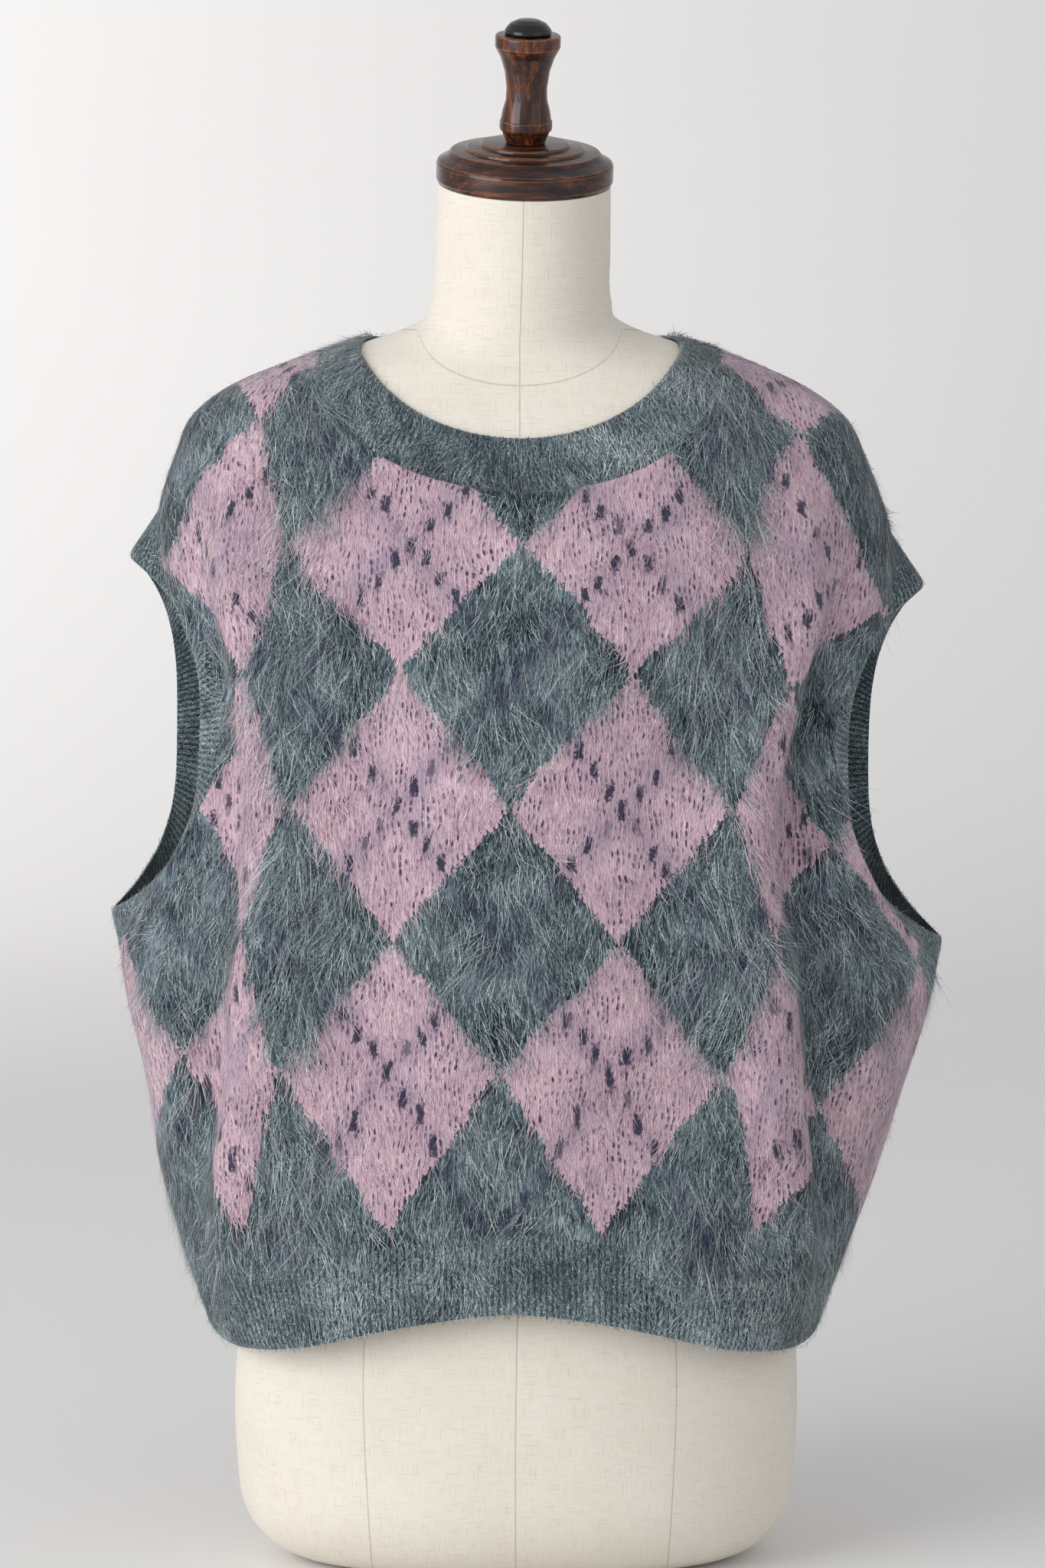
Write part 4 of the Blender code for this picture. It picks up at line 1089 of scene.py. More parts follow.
# %% Wood materials
def wood(name, grain_scales, darker):
    """Stained wood whose grain is long in the direction with the smallest scale."""
    material, tree, shader = new_material(name)
    place = add(tree, "ShaderNodeTexCoord").outputs["Object"]
    drawn = add(tree, VECTOR, {0: place, 1: grain_scales}, operation="MULTIPLY")
    broad = add(
        tree,
        NOISE,
        {"Vector": drawn, "Scale": 1.0, "Detail": 4.0, "Roughness": 0.65, "Distortion": 0.5},
    )
    finer = add(tree, VECTOR, {0: drawn, 1: (5.0, 5.0, 5.0)}, operation="MULTIPLY")
    pores = add(tree, NOISE, {"Vector": finer, "Scale": 1.0, "Detail": 2.0})
    tone = add(tree, MATH, {0: pores, 1: 0.35, 2: -0.17 - darker}, operation="MULTIPLY_ADD")
    tone = add(tree, MATH, {0: broad, 1: tone}, operation="ADD")
    stops = ((0.32, "#0e0503"), (0.44, "#260f07"), (0.55, "#48200e"), (0.70, "#7c421d"))
    ramp = add(tree, RAMP, {0: tone}, stops=stops)
    edge = add(tree, "ShaderNodeAttribute", attribute_name="worn")
    rubbed = {"Value": pores, "From Min": 0.35, "From Max": 0.65, "To Min": 0.2}
    rubbed = add(tree, RANGE, rubbed)
    rubbed = add(tree, MATH, {0: edge.outputs["Fac"], 1: rubbed}, operation="MULTIPLY")
    worn = add(tree, MIX, {"Factor": rubbed, "A": ramp, "B": linear("#b06d35")}, data_type="RGBA")
    tree.links.new(worn.outputs[2], shader.inputs["Base Color"])
    gloss = add(tree, RANGE, {"Value": pores, "To Min": 0.34, "To Max": 0.5})
    tree.links.new(gloss.outputs[0], shader.inputs["Roughness"])
    bump = add(tree, "ShaderNodeBump", {"Strength": 0.25, "Distance": 0.0003, "Height": pores})
    tree.links.new(bump.outputs[0], shader.inputs["Normal"])
    shader.inputs["Specular IOR Level"].default_value = 0.25
    shader.inputs["Coat Weight"].default_value = 0.55
    shader.inputs["Coat Roughness"].default_value = 0.09
    return material


cap.data.materials.append(wood("lacquered_walnut_cap", (12.0, 110.0, 220.0), 0.05))
finial.data.materials.append(wood("lacquered_walnut_finial", (190.0, 190.0, 17.0), 0.0))

# The button is ebonised: nearly black, with the same clear gloss.
ebony, tree, shader = new_material("ebonised_wood")
place = add(tree, "ShaderNodeTexCoord").outputs["Object"]
noise = add(tree, NOISE, {"Vector": place, "Scale": 260.0, "Detail": 3.0})
black = add(
    tree,
    MIX,
    {"Factor": noise, "A": linear("#070707"), "B": linear("#161615")},
    data_type="RGBA",
)
tree.links.new(black.outputs[2], shader.inputs["Base Color"])
gloss = add(tree, RANGE, {"Value": noise, "To Min": 0.22, "To Max": 0.42})
tree.links.new(gloss.outputs[0], shader.inputs["Roughness"])
shader.inputs["Specular IOR Level"].default_value = 0.25
shader.inputs["Coat Weight"].default_value = 0.5
shader.inputs["Coat Roughness"].default_value = 0.1
button.data.materials.append(ebony)

# %% [markdown]
# ## The argyle
#
# An argyle is a lattice of diamonds with thin diagonal lines, the rakers, that cross each
# diamond. It is knitted, so its edges step from one column of stitches to the next, and a
# raker is a dash of one stitch wide at every third column. One node group works this out
# from a place on the flat piece. The cloth and its pile both use it, so they agree.

# %% The argyle's sizes
WALE, COURSE = 0.0030, 0.0023  # width and height of one stitch
DIAMOND_WIDTH, DIAMOND_HEIGHT = 0.126, 0.150
CHEST_WIDTH, CHEST_FROM, CHEST_TO = 0.137, 0.49, 0.58  # the cloth is pulled wider there
DIAMOND_ROW = 0.6092  # height of a row of pink diamonds
DIAMOND_LEAN = 0.031  # how far the columns of diamonds lean
HIDDEN_FOLD = 0.31  # share of a diamond that is tucked into each deep fold
FOLD_MIDDLES, FOLD_SPREAD = (-0.146, 0.137), 0.014
LAST_DIAMONDS = -2.5  # the argyle ends here, above the hem
HEM_STRETCH, STRETCH_FROM, STRETCH_TO = 0.0215, 0.31, 0.21  # the last rows hang longer
SAG, SAG_FROM, SAG_TO = 0.020, 0.130, 0.215  # the columns beyond a fold hang lower
GAP_SHADE_STEP, GAP_SHADE_WIDTH = 0.0048, 0.0011  # of the painted shade in the gaps between columns
STITCH_SLANT = 1.2  # how steeply the two legs of a stitch rise
DASH_STEP = 3  # stitches from one dash of a raker to the next
DASH_WIDTH, DASH_HEIGHT = 0.0022, 0.0044  # half sizes of a dash
DASH_SHIFT = 0.017  # how far a dash may lie off its line, in diamonds
RAGGED_TURNS, RAGGED = 420.0, 1.1  # of its edge
NEAR_RAKER = 0.17  # how far loose navy fibres lie from the line, in diamonds


# %% Places on the lattice of diamonds
def on_lattice(tree, u, v):
    """Adds nodes for the places across and up, counted in diamonds, of a place on the cut."""
    ranges = {"Value": v, "From Min": STRETCH_TO, "From Max": STRETCH_FROM}
    ranges.update({"To Min": HEM_STRETCH, "To Max": 0.0})
    stretch = add(tree, RANGE, ranges)
    ranges = {"Value": u, "From Min": SAG_FROM, "From Max": SAG_TO, "To Max": SAG}
    sag = add(tree, RANGE, ranges, interpolation_type="SMOOTHSTEP")
    up = add(tree, MATH, {0: v, 1: -DIAMOND_ROW}, operation="ADD")
    up = add(tree, MATH, {0: up, 1: stretch}, operation="ADD")
    up = add(tree, MATH, {0: up, 1: sag}, operation="ADD")
    straight = add(tree, MATH, {0: up, 1: -DIAMOND_LEAN, 2: u}, operation="MULTIPLY_ADD")
    ranges = {"Value": v, "From Min": CHEST_FROM, "From Max": CHEST_TO}
    ranges.update({"To Min": 1 / DIAMOND_WIDTH, "To Max": 1 / CHEST_WIDTH})
    narrowing = add(tree, RANGE, ranges)
    across = add(tree, MATH, {0: straight, 1: narrowing}, operation="MULTIPLY")
    for middle in FOLD_MIDDLES:
        ranges = {
            "Value": u,
            "From Min": middle - FOLD_SPREAD,
            "From Max": middle + FOLD_SPREAD,
            "To Min": -HIDDEN_FOLD if middle < 0 else 0.0,
            "To Max": 0.0 if middle < 0 else HIDDEN_FOLD,
        }
        tuck = add(tree, RANGE, ranges, interpolation_type="SMOOTHSTEP")
        across = add(tree, MATH, {0: across, 1: tuck}, operation="ADD")
    up = add(tree, MATH, {0: up, 1: 1 / DIAMOND_HEIGHT}, operation="MULTIPLY")
    return straight, across, up


def in_pink(tree, across, up):
    """Adds nodes that give 1 in a pink diamond and 0 in a grey one."""
    rising = add(tree, MATH, {0: across, 1: up}, operation="ADD")
    falling = add(tree, MATH, {0: across, 1: up}, operation="SUBTRACT")
    rising = add(tree, MATH, {0: rising}, operation="FLOOR")
    falling = add(tree, MATH, {0: falling}, operation="FLOOR")
    odd = add(tree, MATH, {0: rising, 1: falling}, operation="ADD")
    odd = add(tree, MATH, {0: odd, 1: 2.0}, operation="FLOORED_MODULO")
    pink = add(tree, MATH, {0: 1.0, 1: odd}, operation="SUBTRACT")
    above_hem = add(tree, MATH, {0: up, 1: LAST_DIAMONDS}, operation="GREATER_THAN")
    return add(tree, MATH, {0: pink, 1: above_hem}, operation="MULTIPLY")


# %% The argyle's node group
argyle = bpy.data.node_groups.new("argyle", "ShaderNodeTree")
argyle.interface.new_socket("Cloth", in_out="INPUT", socket_type="NodeSocketVector")
for name in ("Pink", "Raker", "Near raker", "Stitch", "Gap shade"):
    argyle.interface.new_socket(name, in_out="OUTPUT", socket_type="NodeSocketFloat")
given = argyle.nodes.new("NodeGroupInput").outputs["Cloth"]
result = argyle.nodes.new("NodeGroupOutput")
split = add(argyle, "ShaderNodeSeparateXYZ", {0: given})

# Brushing pulls the yarn about, so the columns waver a little.
WAVERS = (
    # how often it turns in a metre, finer turns, how far
    (45.0, 1.0, 0.009),
    (190.0, 3.0, 0.008),
)
wavers = []
for turns, finer, reach in WAVERS:
    waver = {"Vector": given, "Scale": turns, "Detail": finer}
    waver = add(argyle, NOISE, waver)
    waver = add(argyle, "ShaderNodeSeparateColor", {0: waver.outputs["Color"]})
    ranges = {"From Min": 0.0, "From Max": 1.0, "To Min": -reach / 2, "To Max": reach / 2}
    wavers.append(
        [add(argyle, RANGE, {"Value": waver.outputs[n], **ranges}) for n in (0, 1)]
    )
u = add(argyle, MATH, {0: split.outputs[0], 1: wavers[0][0]}, operation="ADD")
v = add(argyle, MATH, {0: split.outputs[1], 1: wavers[0][1]}, operation="ADD")

# The middle of the stitch that this place is in.
column = add(argyle, MATH, {0: u, 1: 1 / WALE}, operation="MULTIPLY")
in_column = add(argyle, MATH, {0: column}, operation="FRACT")
in_column = add(argyle, MATH, {0: in_column, 1: -0.5}, operation="ADD")
from_middle = add(argyle, MATH, {0: in_column}, operation="ABSOLUTE")
course = add(argyle, MATH, {0: v, 1: 1 / COURSE}, operation="MULTIPLY")
course = add(argyle, MATH, {0: from_middle, 1: -STITCH_SLANT, 2: course}, operation="MULTIPLY_ADD")
stitch_u = add(argyle, MATH, {0: u, 1: WALE}, operation="SNAP")
stitch_u = add(argyle, MATH, {0: stitch_u, 1: WALE / 2}, operation="ADD")
stitch_v = add(argyle, MATH, {0: course}, operation="FLOOR")
stitch_v = add(argyle, MATH, {0: stitch_v, 1: COURSE, 2: COURSE / 2}, operation="MULTIPLY_ADD")

# Where two colours meet, loose fibres make the edge more ragged than the stitches do.
edge_u = add(argyle, MATH, {0: stitch_u, 1: wavers[1][0]}, operation="ADD")
edge_v = add(argyle, MATH, {0: stitch_v, 1: wavers[1][1]}, operation="ADD")
_, across, up = on_lattice(argyle, edge_u, edge_v)
pink = in_pink(argyle, across, up)
argyle.links.new(pink.outputs[0], result.inputs["Pink"])

# %% The rakers
straight, across, up = on_lattice(argyle, u, v)
step = DASH_STEP * WALE
dash_u = add(argyle, MATH, {0: straight, 1: step / 2}, operation="ADD")
dash_u = add(argyle, MATH, {0: dash_u, 1: step}, operation="SNAP")
beside = add(argyle, MATH, {0: straight, 1: dash_u}, operation="SUBTRACT")
beside = add(argyle, MATH, {0: beside}, operation="ABSOLUTE")
beside = add(argyle, MATH, {0: beside, 1: 1 / DASH_WIDTH}, operation="MULTIPLY")
dash_across = add(argyle, MATH, {0: dash_u, 1: 1 / DIAMOND_WIDTH}, operation="MULTIPLY")
ragged = add(argyle, NOISE, {"Vector": given, "Scale": RAGGED_TURNS, "Detail": 3.0})
ragged = add(argyle, MATH, {0: ragged, 1: 2 * RAGGED, 2: -RAGGED}, operation="MULTIPLY_ADD")

dashes, near = [], []
for sign in (1, -1):
    line = add(argyle, MATH, {0: up, 1: float(sign), 2: dash_across}, operation="MULTIPLY_ADD")
    line = add(argyle, MATH, {0: line, 1: -0.5}, operation="ADD")
    number = add(argyle, MATH, {0: line}, operation="ROUND")
    key = add(argyle, "ShaderNodeCombineXYZ", {0: dash_u, 1: number, 2: float(sign)})
    chance = add(argyle, "ShaderNodeTexWhiteNoise", {"Vector": key}, noise_dimensions="3D")
    uneven = add(argyle, "ShaderNodeSeparateColor", {0: chance.outputs["Color"]})
    off = add(argyle, MATH, {0: line, 1: number}, operation="SUBTRACT")
    shift = {0: uneven.outputs[0], 1: 2 * DASH_SHIFT, 2: -DASH_SHIFT}
    shift = add(argyle, MATH, shift, operation="MULTIPLY_ADD")
    off = add(argyle, MATH, {0: off, 1: shift}, operation="ADD")
    off = add(argyle, MATH, {0: off}, operation="ABSOLUTE")
    off = add(argyle, MATH, {0: off, 1: DIAMOND_HEIGHT / DASH_HEIGHT}, operation="MULTIPLY")
    far = add(argyle, MATH, {0: off, 1: beside}, operation="MAXIMUM")
    far = add(argyle, MATH, {0: far, 1: ragged}, operation="ADD")
    ranges = {"Value": far, "From Min": 0.65, "From Max": 1.3, "To Min": 1.0, "To Max": 0.0}
    dash = add(argyle, RANGE, ranges, interpolation_type="SMOOTHSTEP")
    strength = {"Value": uneven.outputs[1], "From Min": 0.02, "From Max": 0.35, "To Min": 0.1}
    strength = add(argyle, RANGE, strength)
    dashes.append(add(argyle, MATH, {0: dash, 1: strength}, operation="MULTIPLY"))

    # Loose navy fibres lie for a centimetre on either side of the line.
    line = add(argyle, MATH, {0: up, 1: float(sign), 2: across}, operation="MULTIPLY_ADD")
    line = add(argyle, MATH, {0: line}, operation="FRACT")
    line = add(argyle, MATH, {0: line, 1: -0.5}, operation="ADD")
    line = add(argyle, MATH, {0: line}, operation="ABSOLUTE")
    ranges = {"Value": line, "From Min": 0.0, "From Max": NEAR_RAKER, "To Min": 1.0, "To Max": 0.0}
    near.append(add(argyle, RANGE, ranges, interpolation_type="SMOOTHSTEP"))
raker = add(argyle, MATH, {0: dashes[0], 1: dashes[1]}, operation="MAXIMUM")
near = add(argyle, MATH, {0: near[0], 1: near[1]}, operation="MAXIMUM")
argyle.links.new(raker.outputs[0], result.inputs["Raker"])
argyle.links.new(near.outputs[0], result.inputs["Near raker"])

# A stitch has two legs, highest in their middles, with a gap on either side of the column.
leg = add(argyle, MATH, {0: from_middle, 1: -0.25}, operation="ADD")
leg = add(argyle, MATH, {0: leg}, operation="ABSOLUTE")
leg = add(argyle, MATH, {0: leg, 1: -4.0, 2: 1.0}, operation="MULTIPLY_ADD")
in_course = add(argyle, MATH, {0: course}, operation="FRACT")
in_course = add(argyle, MATH, {0: in_course, 1: np.pi}, operation="MULTIPLY")
in_course = add(argyle, MATH, {0: in_course}, operation="SINE")
leg = add(argyle, MATH, {0: leg, 1: in_course}, operation="MULTIPLY")
argyle.links.new(leg.outputs[0], result.inputs["Stitch"])

# Painted shade: between two columns the colour is darkened in short flecks, here and there.
valley = add(argyle, MATH, {0: column}, operation="ROUND")
luck = add(argyle, "ShaderNodeTexWhiteNoise", {"W": valley}, noise_dimensions="1D")
place_in = add(argyle, MATH, {0: v, 1: 1 / GAP_SHADE_STEP, 2: luck}, operation="MULTIPLY_ADD")
row = add(argyle, MATH, {0: place_in}, operation="FLOOR")
key = add(argyle, "ShaderNodeCombineXYZ", {0: valley, 1: row})
luck = add(argyle, "ShaderNodeTexWhiteNoise", {"Vector": key}, noise_dimensions="2D")
bulge = add(argyle, MATH, {0: place_in}, operation="FRACT")
bulge = add(argyle, MATH, {0: bulge, 1: np.pi}, operation="MULTIPLY")
bulge = add(argyle, MATH, {0: bulge}, operation="SINE")
ranges = {"Value": from_middle, "From Min": 0.5 - GAP_SHADE_WIDTH / WALE, "From Max": 0.5}
fleck = add(argyle, RANGE, ranges, interpolation_type="SMOOTHSTEP")
fleck = add(argyle, MATH, {0: fleck, 1: bulge}, operation="MULTIPLY")
ranges = {"Value": luck, "From Min": 0.25, "From Max": 0.9}
luck = add(argyle, RANGE, ranges)
fleck = add(argyle, MATH, {0: fleck, 1: luck}, operation="MULTIPLY")
argyle.links.new(fleck.outputs[0], result.inputs["Gap shade"])
print("argyle nodes:", len(argyle.nodes))

# %% [markdown]
# ## Brushed mohair
#
# Under the pile the cloth itself is brushed: fine hairs lie down it in streaks, darker where
# they part. The grey yarn is brushed so far that its stitches are hidden. The pink one keeps
# small dark gaps between its columns, as painted shade, and a faint painted highlight on the
# middles of its stitches. Mohair is a little shiny at a low angle, which the sheen gives.

# %% Brushed mohair material
HAIR_WIDTH, HAIR_LENGTH = 0.0011, 0.012  # of the streaks that it lies in
STREAK_TURNS = 30.0  # how often they swirl in a metre
GREY_YARN = (
    # tone, colour
    (0.34, "#0a1015"),
    (0.43, "#18252c"),
    (0.50, "#384951"),
    (0.58, "#708187"),
    (0.70, "#b1bdc1"),
)
PINK_YARN = (
    (0.22, "#3c334b"),
    (0.36, "#866f80"),
    (0.46, "#bea0ae"),
    (0.58, "#d6b9c3"),
    (0.72, "#f0dde1"),
)


def streaks(tree, place, width, length, swirl):
    """Noise drawn out into hairs along the cloth, which swirl a little."""
    turn = add(tree, NOISE, {"Vector": place, "Scale": STREAK_TURNS, "Detail": 2.0})
    turn = {0: turn.outputs["Color"], 1: NOISE_MIDDLE}
    turn = add(tree, VECTOR, turn, operation="SUBTRACT")
    turn = add(tree, VECTOR, {0: turn, 1: (swirl, swirl, 0)}, operation="MULTIPLY")
    turned_place = add(tree, VECTOR, {0: place, 1: turn}, operation="ADD")
    drawn = add(
        tree,
        VECTOR,
        {0: turned_place, 1: (1 / width, 1 / length, 1.0)},
        operation="MULTIPLY",
    )
    noise = {"Vector": drawn, "Scale": 1.0, "Detail": 3.0, "Roughness": 0.62}
    return add(tree, NOISE, noise)


mohair, tree, shader = new_material("brushed_mohair_knit")
place = add(tree, "ShaderNodeUVMap", uv_map="cloth")
pattern = add(tree, "ShaderNodeGroup", {}, node_tree=argyle)
tree.links.new(place.outputs[0], pattern.inputs["Cloth"])
pink, raker = pattern.outputs["Pink"], pattern.outputs["Raker"]
near_raker, stitch = pattern.outputs["Near raker"], pattern.outputs["Stitch"]
coarse = streaks(tree, place, HAIR_WIDTH, HAIR_LENGTH, 0.010)
fine = streaks(tree, place, HAIR_WIDTH * 0.5, HAIR_LENGTH * 0.4, 0.006)
hair = add(tree, MATH, {0: fine, 1: 0.45}, operation="MULTIPLY")
hair = add(tree, MATH, {0: coarse, 1: 0.55, 2: hair}, operation="MULTIPLY_ADD")
cloud = add(tree, NOISE, {"Vector": place, "Scale": 26.0, "Detail": 3.0})
cloud = add(tree, MATH, {0: cloud, 1: 0.5, 2: -0.25}, operation="MULTIPLY_ADD")
ranges = {"Value": cloud, "From Min": -0.12, "From Max": 0.10}
cloud_of_navy = add(tree, RANGE, ranges)
grey_tone = add(tree, MATH, {0: hair, 1: cloud}, operation="ADD")
grey = add(tree, RAMP, {0: grey_tone}, stops=GREY_YARN)
# Painted shade: the gaps between the pink columns are darkened in colour, more where the cloth is
# open. The middles of the stitches' legs are painted a little lighter, as a painted highlight.
open_here = add(tree, NOISE, {"Vector": place, "Scale": 38.0, "Detail": 2.0})
ranges = {"Value": open_here, "From Min": 0.36, "From Max": 0.6, "To Min": 0.12, "To Max": 0.5}
open_here = add(tree, RANGE, ranges)
gap = add(tree, MATH, {0: pattern.outputs["Gap shade"], 1: open_here}, operation="MULTIPLY")
gap = add(tree, MATH, {0: hair, 1: gap}, operation="SUBTRACT")
gap = add(tree, MATH, {0: stitch, 1: 0.06, 2: gap}, operation="MULTIPLY_ADD")
pink_tone = add(tree, MATH, {0: cloud, 1: 0.5, 2: gap}, operation="MULTIPLY_ADD")
rose = add(tree, RAMP, {0: pink_tone}, stops=PINK_YARN)
cloth_colour = add(tree, MIX, {"Factor": pink, "A": grey, "B": rose}, data_type="RGBA")
faded = add(tree, MATH, {0: near_raker, 1: cloud_of_navy}, operation="MULTIPLY")
share = add(tree, RANGE, {"Value": pink, "To Min": 0.22, "To Max": 0.55})
faded = add(tree, MATH, {0: faded, 1: share}, operation="MULTIPLY")
faded = add(
    tree,
    MIX,
    {"Factor": faded, "A": cloth_colour, "B": linear("#6f6688")},
    data_type="RGBA",
)
dashed = add(tree, RANGE, {"Value": pink, "To Min": 0.35, "To Max": 0.92})
dashed = add(tree, MATH, {0: dashed, 1: raker}, operation="MULTIPLY")
yarn = add(tree, MIX, {"Factor": dashed, "A": faded, "B": linear("#1a203a")}, data_type="RGBA")
tree.links.new(yarn.outputs[2], shader.inputs["Base Color"])
relief = add(tree, MATH, {0: stitch, 1: pink}, operation="MULTIPLY")
relief = add(tree, MATH, {0: relief, 1: 0.5, 2: hair}, operation="MULTIPLY_ADD")
bump = add(tree, "ShaderNodeBump", {"Strength": 0.7, "Distance": 0.0016, "Height": relief})
tree.links.new(bump.outputs[0], shader.inputs["Normal"])
shader.inputs["Roughness"].default_value = 0.92
shader.inputs["Specular IOR Level"].default_value = 0.2
shader.inputs["Sheen Weight"].default_value = 0.35
shader.inputs["Sheen Roughness"].default_value = 0.45
for panel in panels.values():
    panel.data.materials.append(mohair)

# %% [markdown]
# ## Plain ribbed knit
#
# The bands are the same slate yarn, not brushed as hard: a melange of lighter and darker
# fibres on real ribs, with painted shade in the ribs' troughs and painted light on their crests.

# %% Plain rib material
RIB_YARN = (
    # tone, colour
    (0.35, "#0c1316"),
    (0.43, "#212f34"),
    (0.50, "#46575d"),
    (0.57, "#7f8f93"),
    (0.66, "#c6cfd1"),
)
FLECKS = ((0.0010, 0.0032, 0.004), (0.0005, 0.0011, 0.002))  # width, length, swirl

slate, tree, shader = new_material("slate_rib_knit")
place = add(tree, "ShaderNodeUVMap", uv_map="cloth")
coarse, fine = [streaks(tree, place, *fleck) for fleck in FLECKS]
cloud = add(tree, NOISE, {"Vector": place, "Scale": 34.0, "Detail": 2.0})
tone = add(tree, MATH, {0: fine, 1: 0.6}, operation="MULTIPLY")
tone = add(tree, MATH, {0: coarse, 1: 0.4, 2: tone}, operation="MULTIPLY_ADD")
tone_shift = add(tree, MATH, {0: cloud, 1: 0.24, 2: -0.12}, operation="MULTIPLY_ADD")
tone = add(tree, MATH, {0: tone, 1: tone_shift}, operation="ADD")
split = add(tree, "ShaderNodeSeparateXYZ", {0: place})
# Painted shade and light: the tone is darker in each rib's trough and lighter on its crest.
rib = add(tree, MATH, {0: split.outputs[0], 1: np.pi / RIB_PITCH}, operation="MULTIPLY")
rib = add(tree, MATH, {0: rib}, operation="SINE")
rib = add(tree, MATH, {0: rib}, operation="ABSOLUTE")
tone = add(tree, MATH, {0: rib, 1: 0.09, 2: tone}, operation="MULTIPLY_ADD")
tone = add(tree, MATH, {0: tone, 1: -0.055}, operation="ADD")
melange = add(tree, RAMP, {0: tone}, stops=RIB_YARN)
tree.links.new(melange.outputs[0], shader.inputs["Base Color"])
bump = add(tree, "ShaderNodeBump", {"Strength": 0.6, "Distance": 0.0009, "Height": tone})
tree.links.new(bump.outputs[0], shader.inputs["Normal"])
shader.inputs["Roughness"].default_value = 0.93
shader.inputs["Specular IOR Level"].default_value = 0.2
shader.inputs["Sheen Weight"].default_value = 0.3
for piece, _ in bands.values():
    piece.data.materials.append(slate)

# %% [markdown]
# ## The mohair's pile
#
# Brushing pulls long, fine mohair fibres out of the yarn and combs them down the cloth. They
# lie over the stitches, swirl in tufts and stand out as a halo at the edges. Hair curves
# would not survive an export, so each fibre is a thin ribbon of a few faces. Geometry Nodes
# scatter the ribbons on the outer face, turn each one down the cloth, and bend it. The argyle
# decides how many grow and how long they are: many long ones on grey, short ones on pink.

# %% The pile's node tree
MOST_FIBRES = 190  # squared, the most fibres on one piece
TUFTS = 22.0  # tufts in a metre: each has its own length
SWIRLS, SWIRL = 34.0, 2.6  # how often the tufts turn in a metre, and how far
WAVES, WAVE = 75.0, 2.0  # the same for the bends of a fibre
CLUMPS = (300.0, 90.0, 1.0)  # of one tone, in a metre across and down the cut
ASTRAY = (0.32, 0.32, 0.32)  # how far a fibre may lie off its tuft's way

pile_tree = bpy.data.node_groups.new("mohair_pile", "GeometryNodeTree")
INPUTS = (
    # name, type, default
    ("Skin", "NodeSocketGeometry", None),
    ("Grey density", "NodeSocketFloat", 150000.0),
    ("Pink density", "NodeSocketFloat", 50000.0),
    ("Grey length", "NodeSocketFloat", 0.016),
    ("Pink length", "NodeSocketFloat", 0.007),
    ("Width", "NodeSocketFloat", 0.0004),
    ("Lift", "NodeSocketFloat", 0.3),
    ("Seed", "NodeSocketInt", 1),
    ("Material", "NodeSocketMaterial", None),
)
for name, kind, default in INPUTS:
    socket = pile_tree.interface.new_socket(name, in_out="INPUT", socket_type=kind)
    if default is not None:
        socket.default_value = default
pile_tree.interface.new_socket("Pile", in_out="OUTPUT", socket_type="NodeSocketGeometry")
given = pile_tree.nodes.new("NodeGroupInput").outputs
result = pile_tree.nodes.new("NodeGroupOutput")
STORED, STORE = "GeometryNodeInputNamedAttribute", "GeometryNodeStoreNamedAttribute"
RANDOM = "FunctionNodeRandomValue"
read_back = {}
for name, kind in (
    ("root", "FLOAT_VECTOR"),
    ("comb", "FLOAT_VECTOR"),
    ("bend", "FLOAT_VECTOR"),
    ("grow", "FLOAT"),
    ("brushed", "FLOAT"),
    ("along", "FLOAT"),
    ("beside", "FLOAT"),
    ("fibre", "INT"),
):
    read_back[name] = add(pile_tree, STORED, {"Name": name}, data_type=kind)

# Three chances of each fibre's own: for its length, its lift and its tone.
chances = []
for low, high in ((0.45, 1.3), (0.15, 1.2), (0.0, 1.0)):
    seed = {0: given["Seed"], 1: len(chances) + 1.0}
    seed = add(pile_tree, MATH, seed, operation="ADD")
    chances.append(add(pile_tree, RANDOM, {"Min": low, "Max": high, "Seed": seed}))

# %% Where the fibres grow
cut_place = read_back["root"]
split = add(pile_tree, "ShaderNodeSeparateXYZ", {0: cut_place})
_, across, up = on_lattice(pile_tree, split.outputs[0], split.outputs[1])
pink_here = in_pink(pile_tree, across, up)
density = add(
    pile_tree,
    MIX,
    {"Factor": pink_here, "A": given["Grey density"], "B": given["Pink density"]},
)
density = add(pile_tree, MATH, {0: density, 1: read_back["grow"]}, operation="MULTIPLY")
scatter = {"Mesh": given["Skin"], "Density": density, "Seed": given["Seed"]}
scatter = add(pile_tree, "GeometryNodeDistributePointsOnFaces", scatter)
out = scatter.outputs["Normal"]

# %% How long each fibre is, and which way it lies
place = add(pile_tree, "GeometryNodeInputPosition")
tufts = add(pile_tree, NOISE, {"Vector": place, "Scale": TUFTS, "Detail": 1.0})
tuft = {"Value": tufts, "From Min": 0.3, "From Max": 0.7, "To Min": 0.55, "To Max": 1.35}
tuft = add(pile_tree, RANGE, tuft)
length = add(
    pile_tree,
    MIX,
    {"Factor": pink_here, "A": given["Grey length"], "B": given["Pink length"]},
)
length = add(pile_tree, MATH, {0: length, 1: tuft}, operation="MULTIPLY")
length = add(pile_tree, MATH, {0: length, 1: chances[0]}, operation="MULTIPLY")
length = add(pile_tree, MATH, {0: length, 1: read_back["brushed"]}, operation="MULTIPLY")

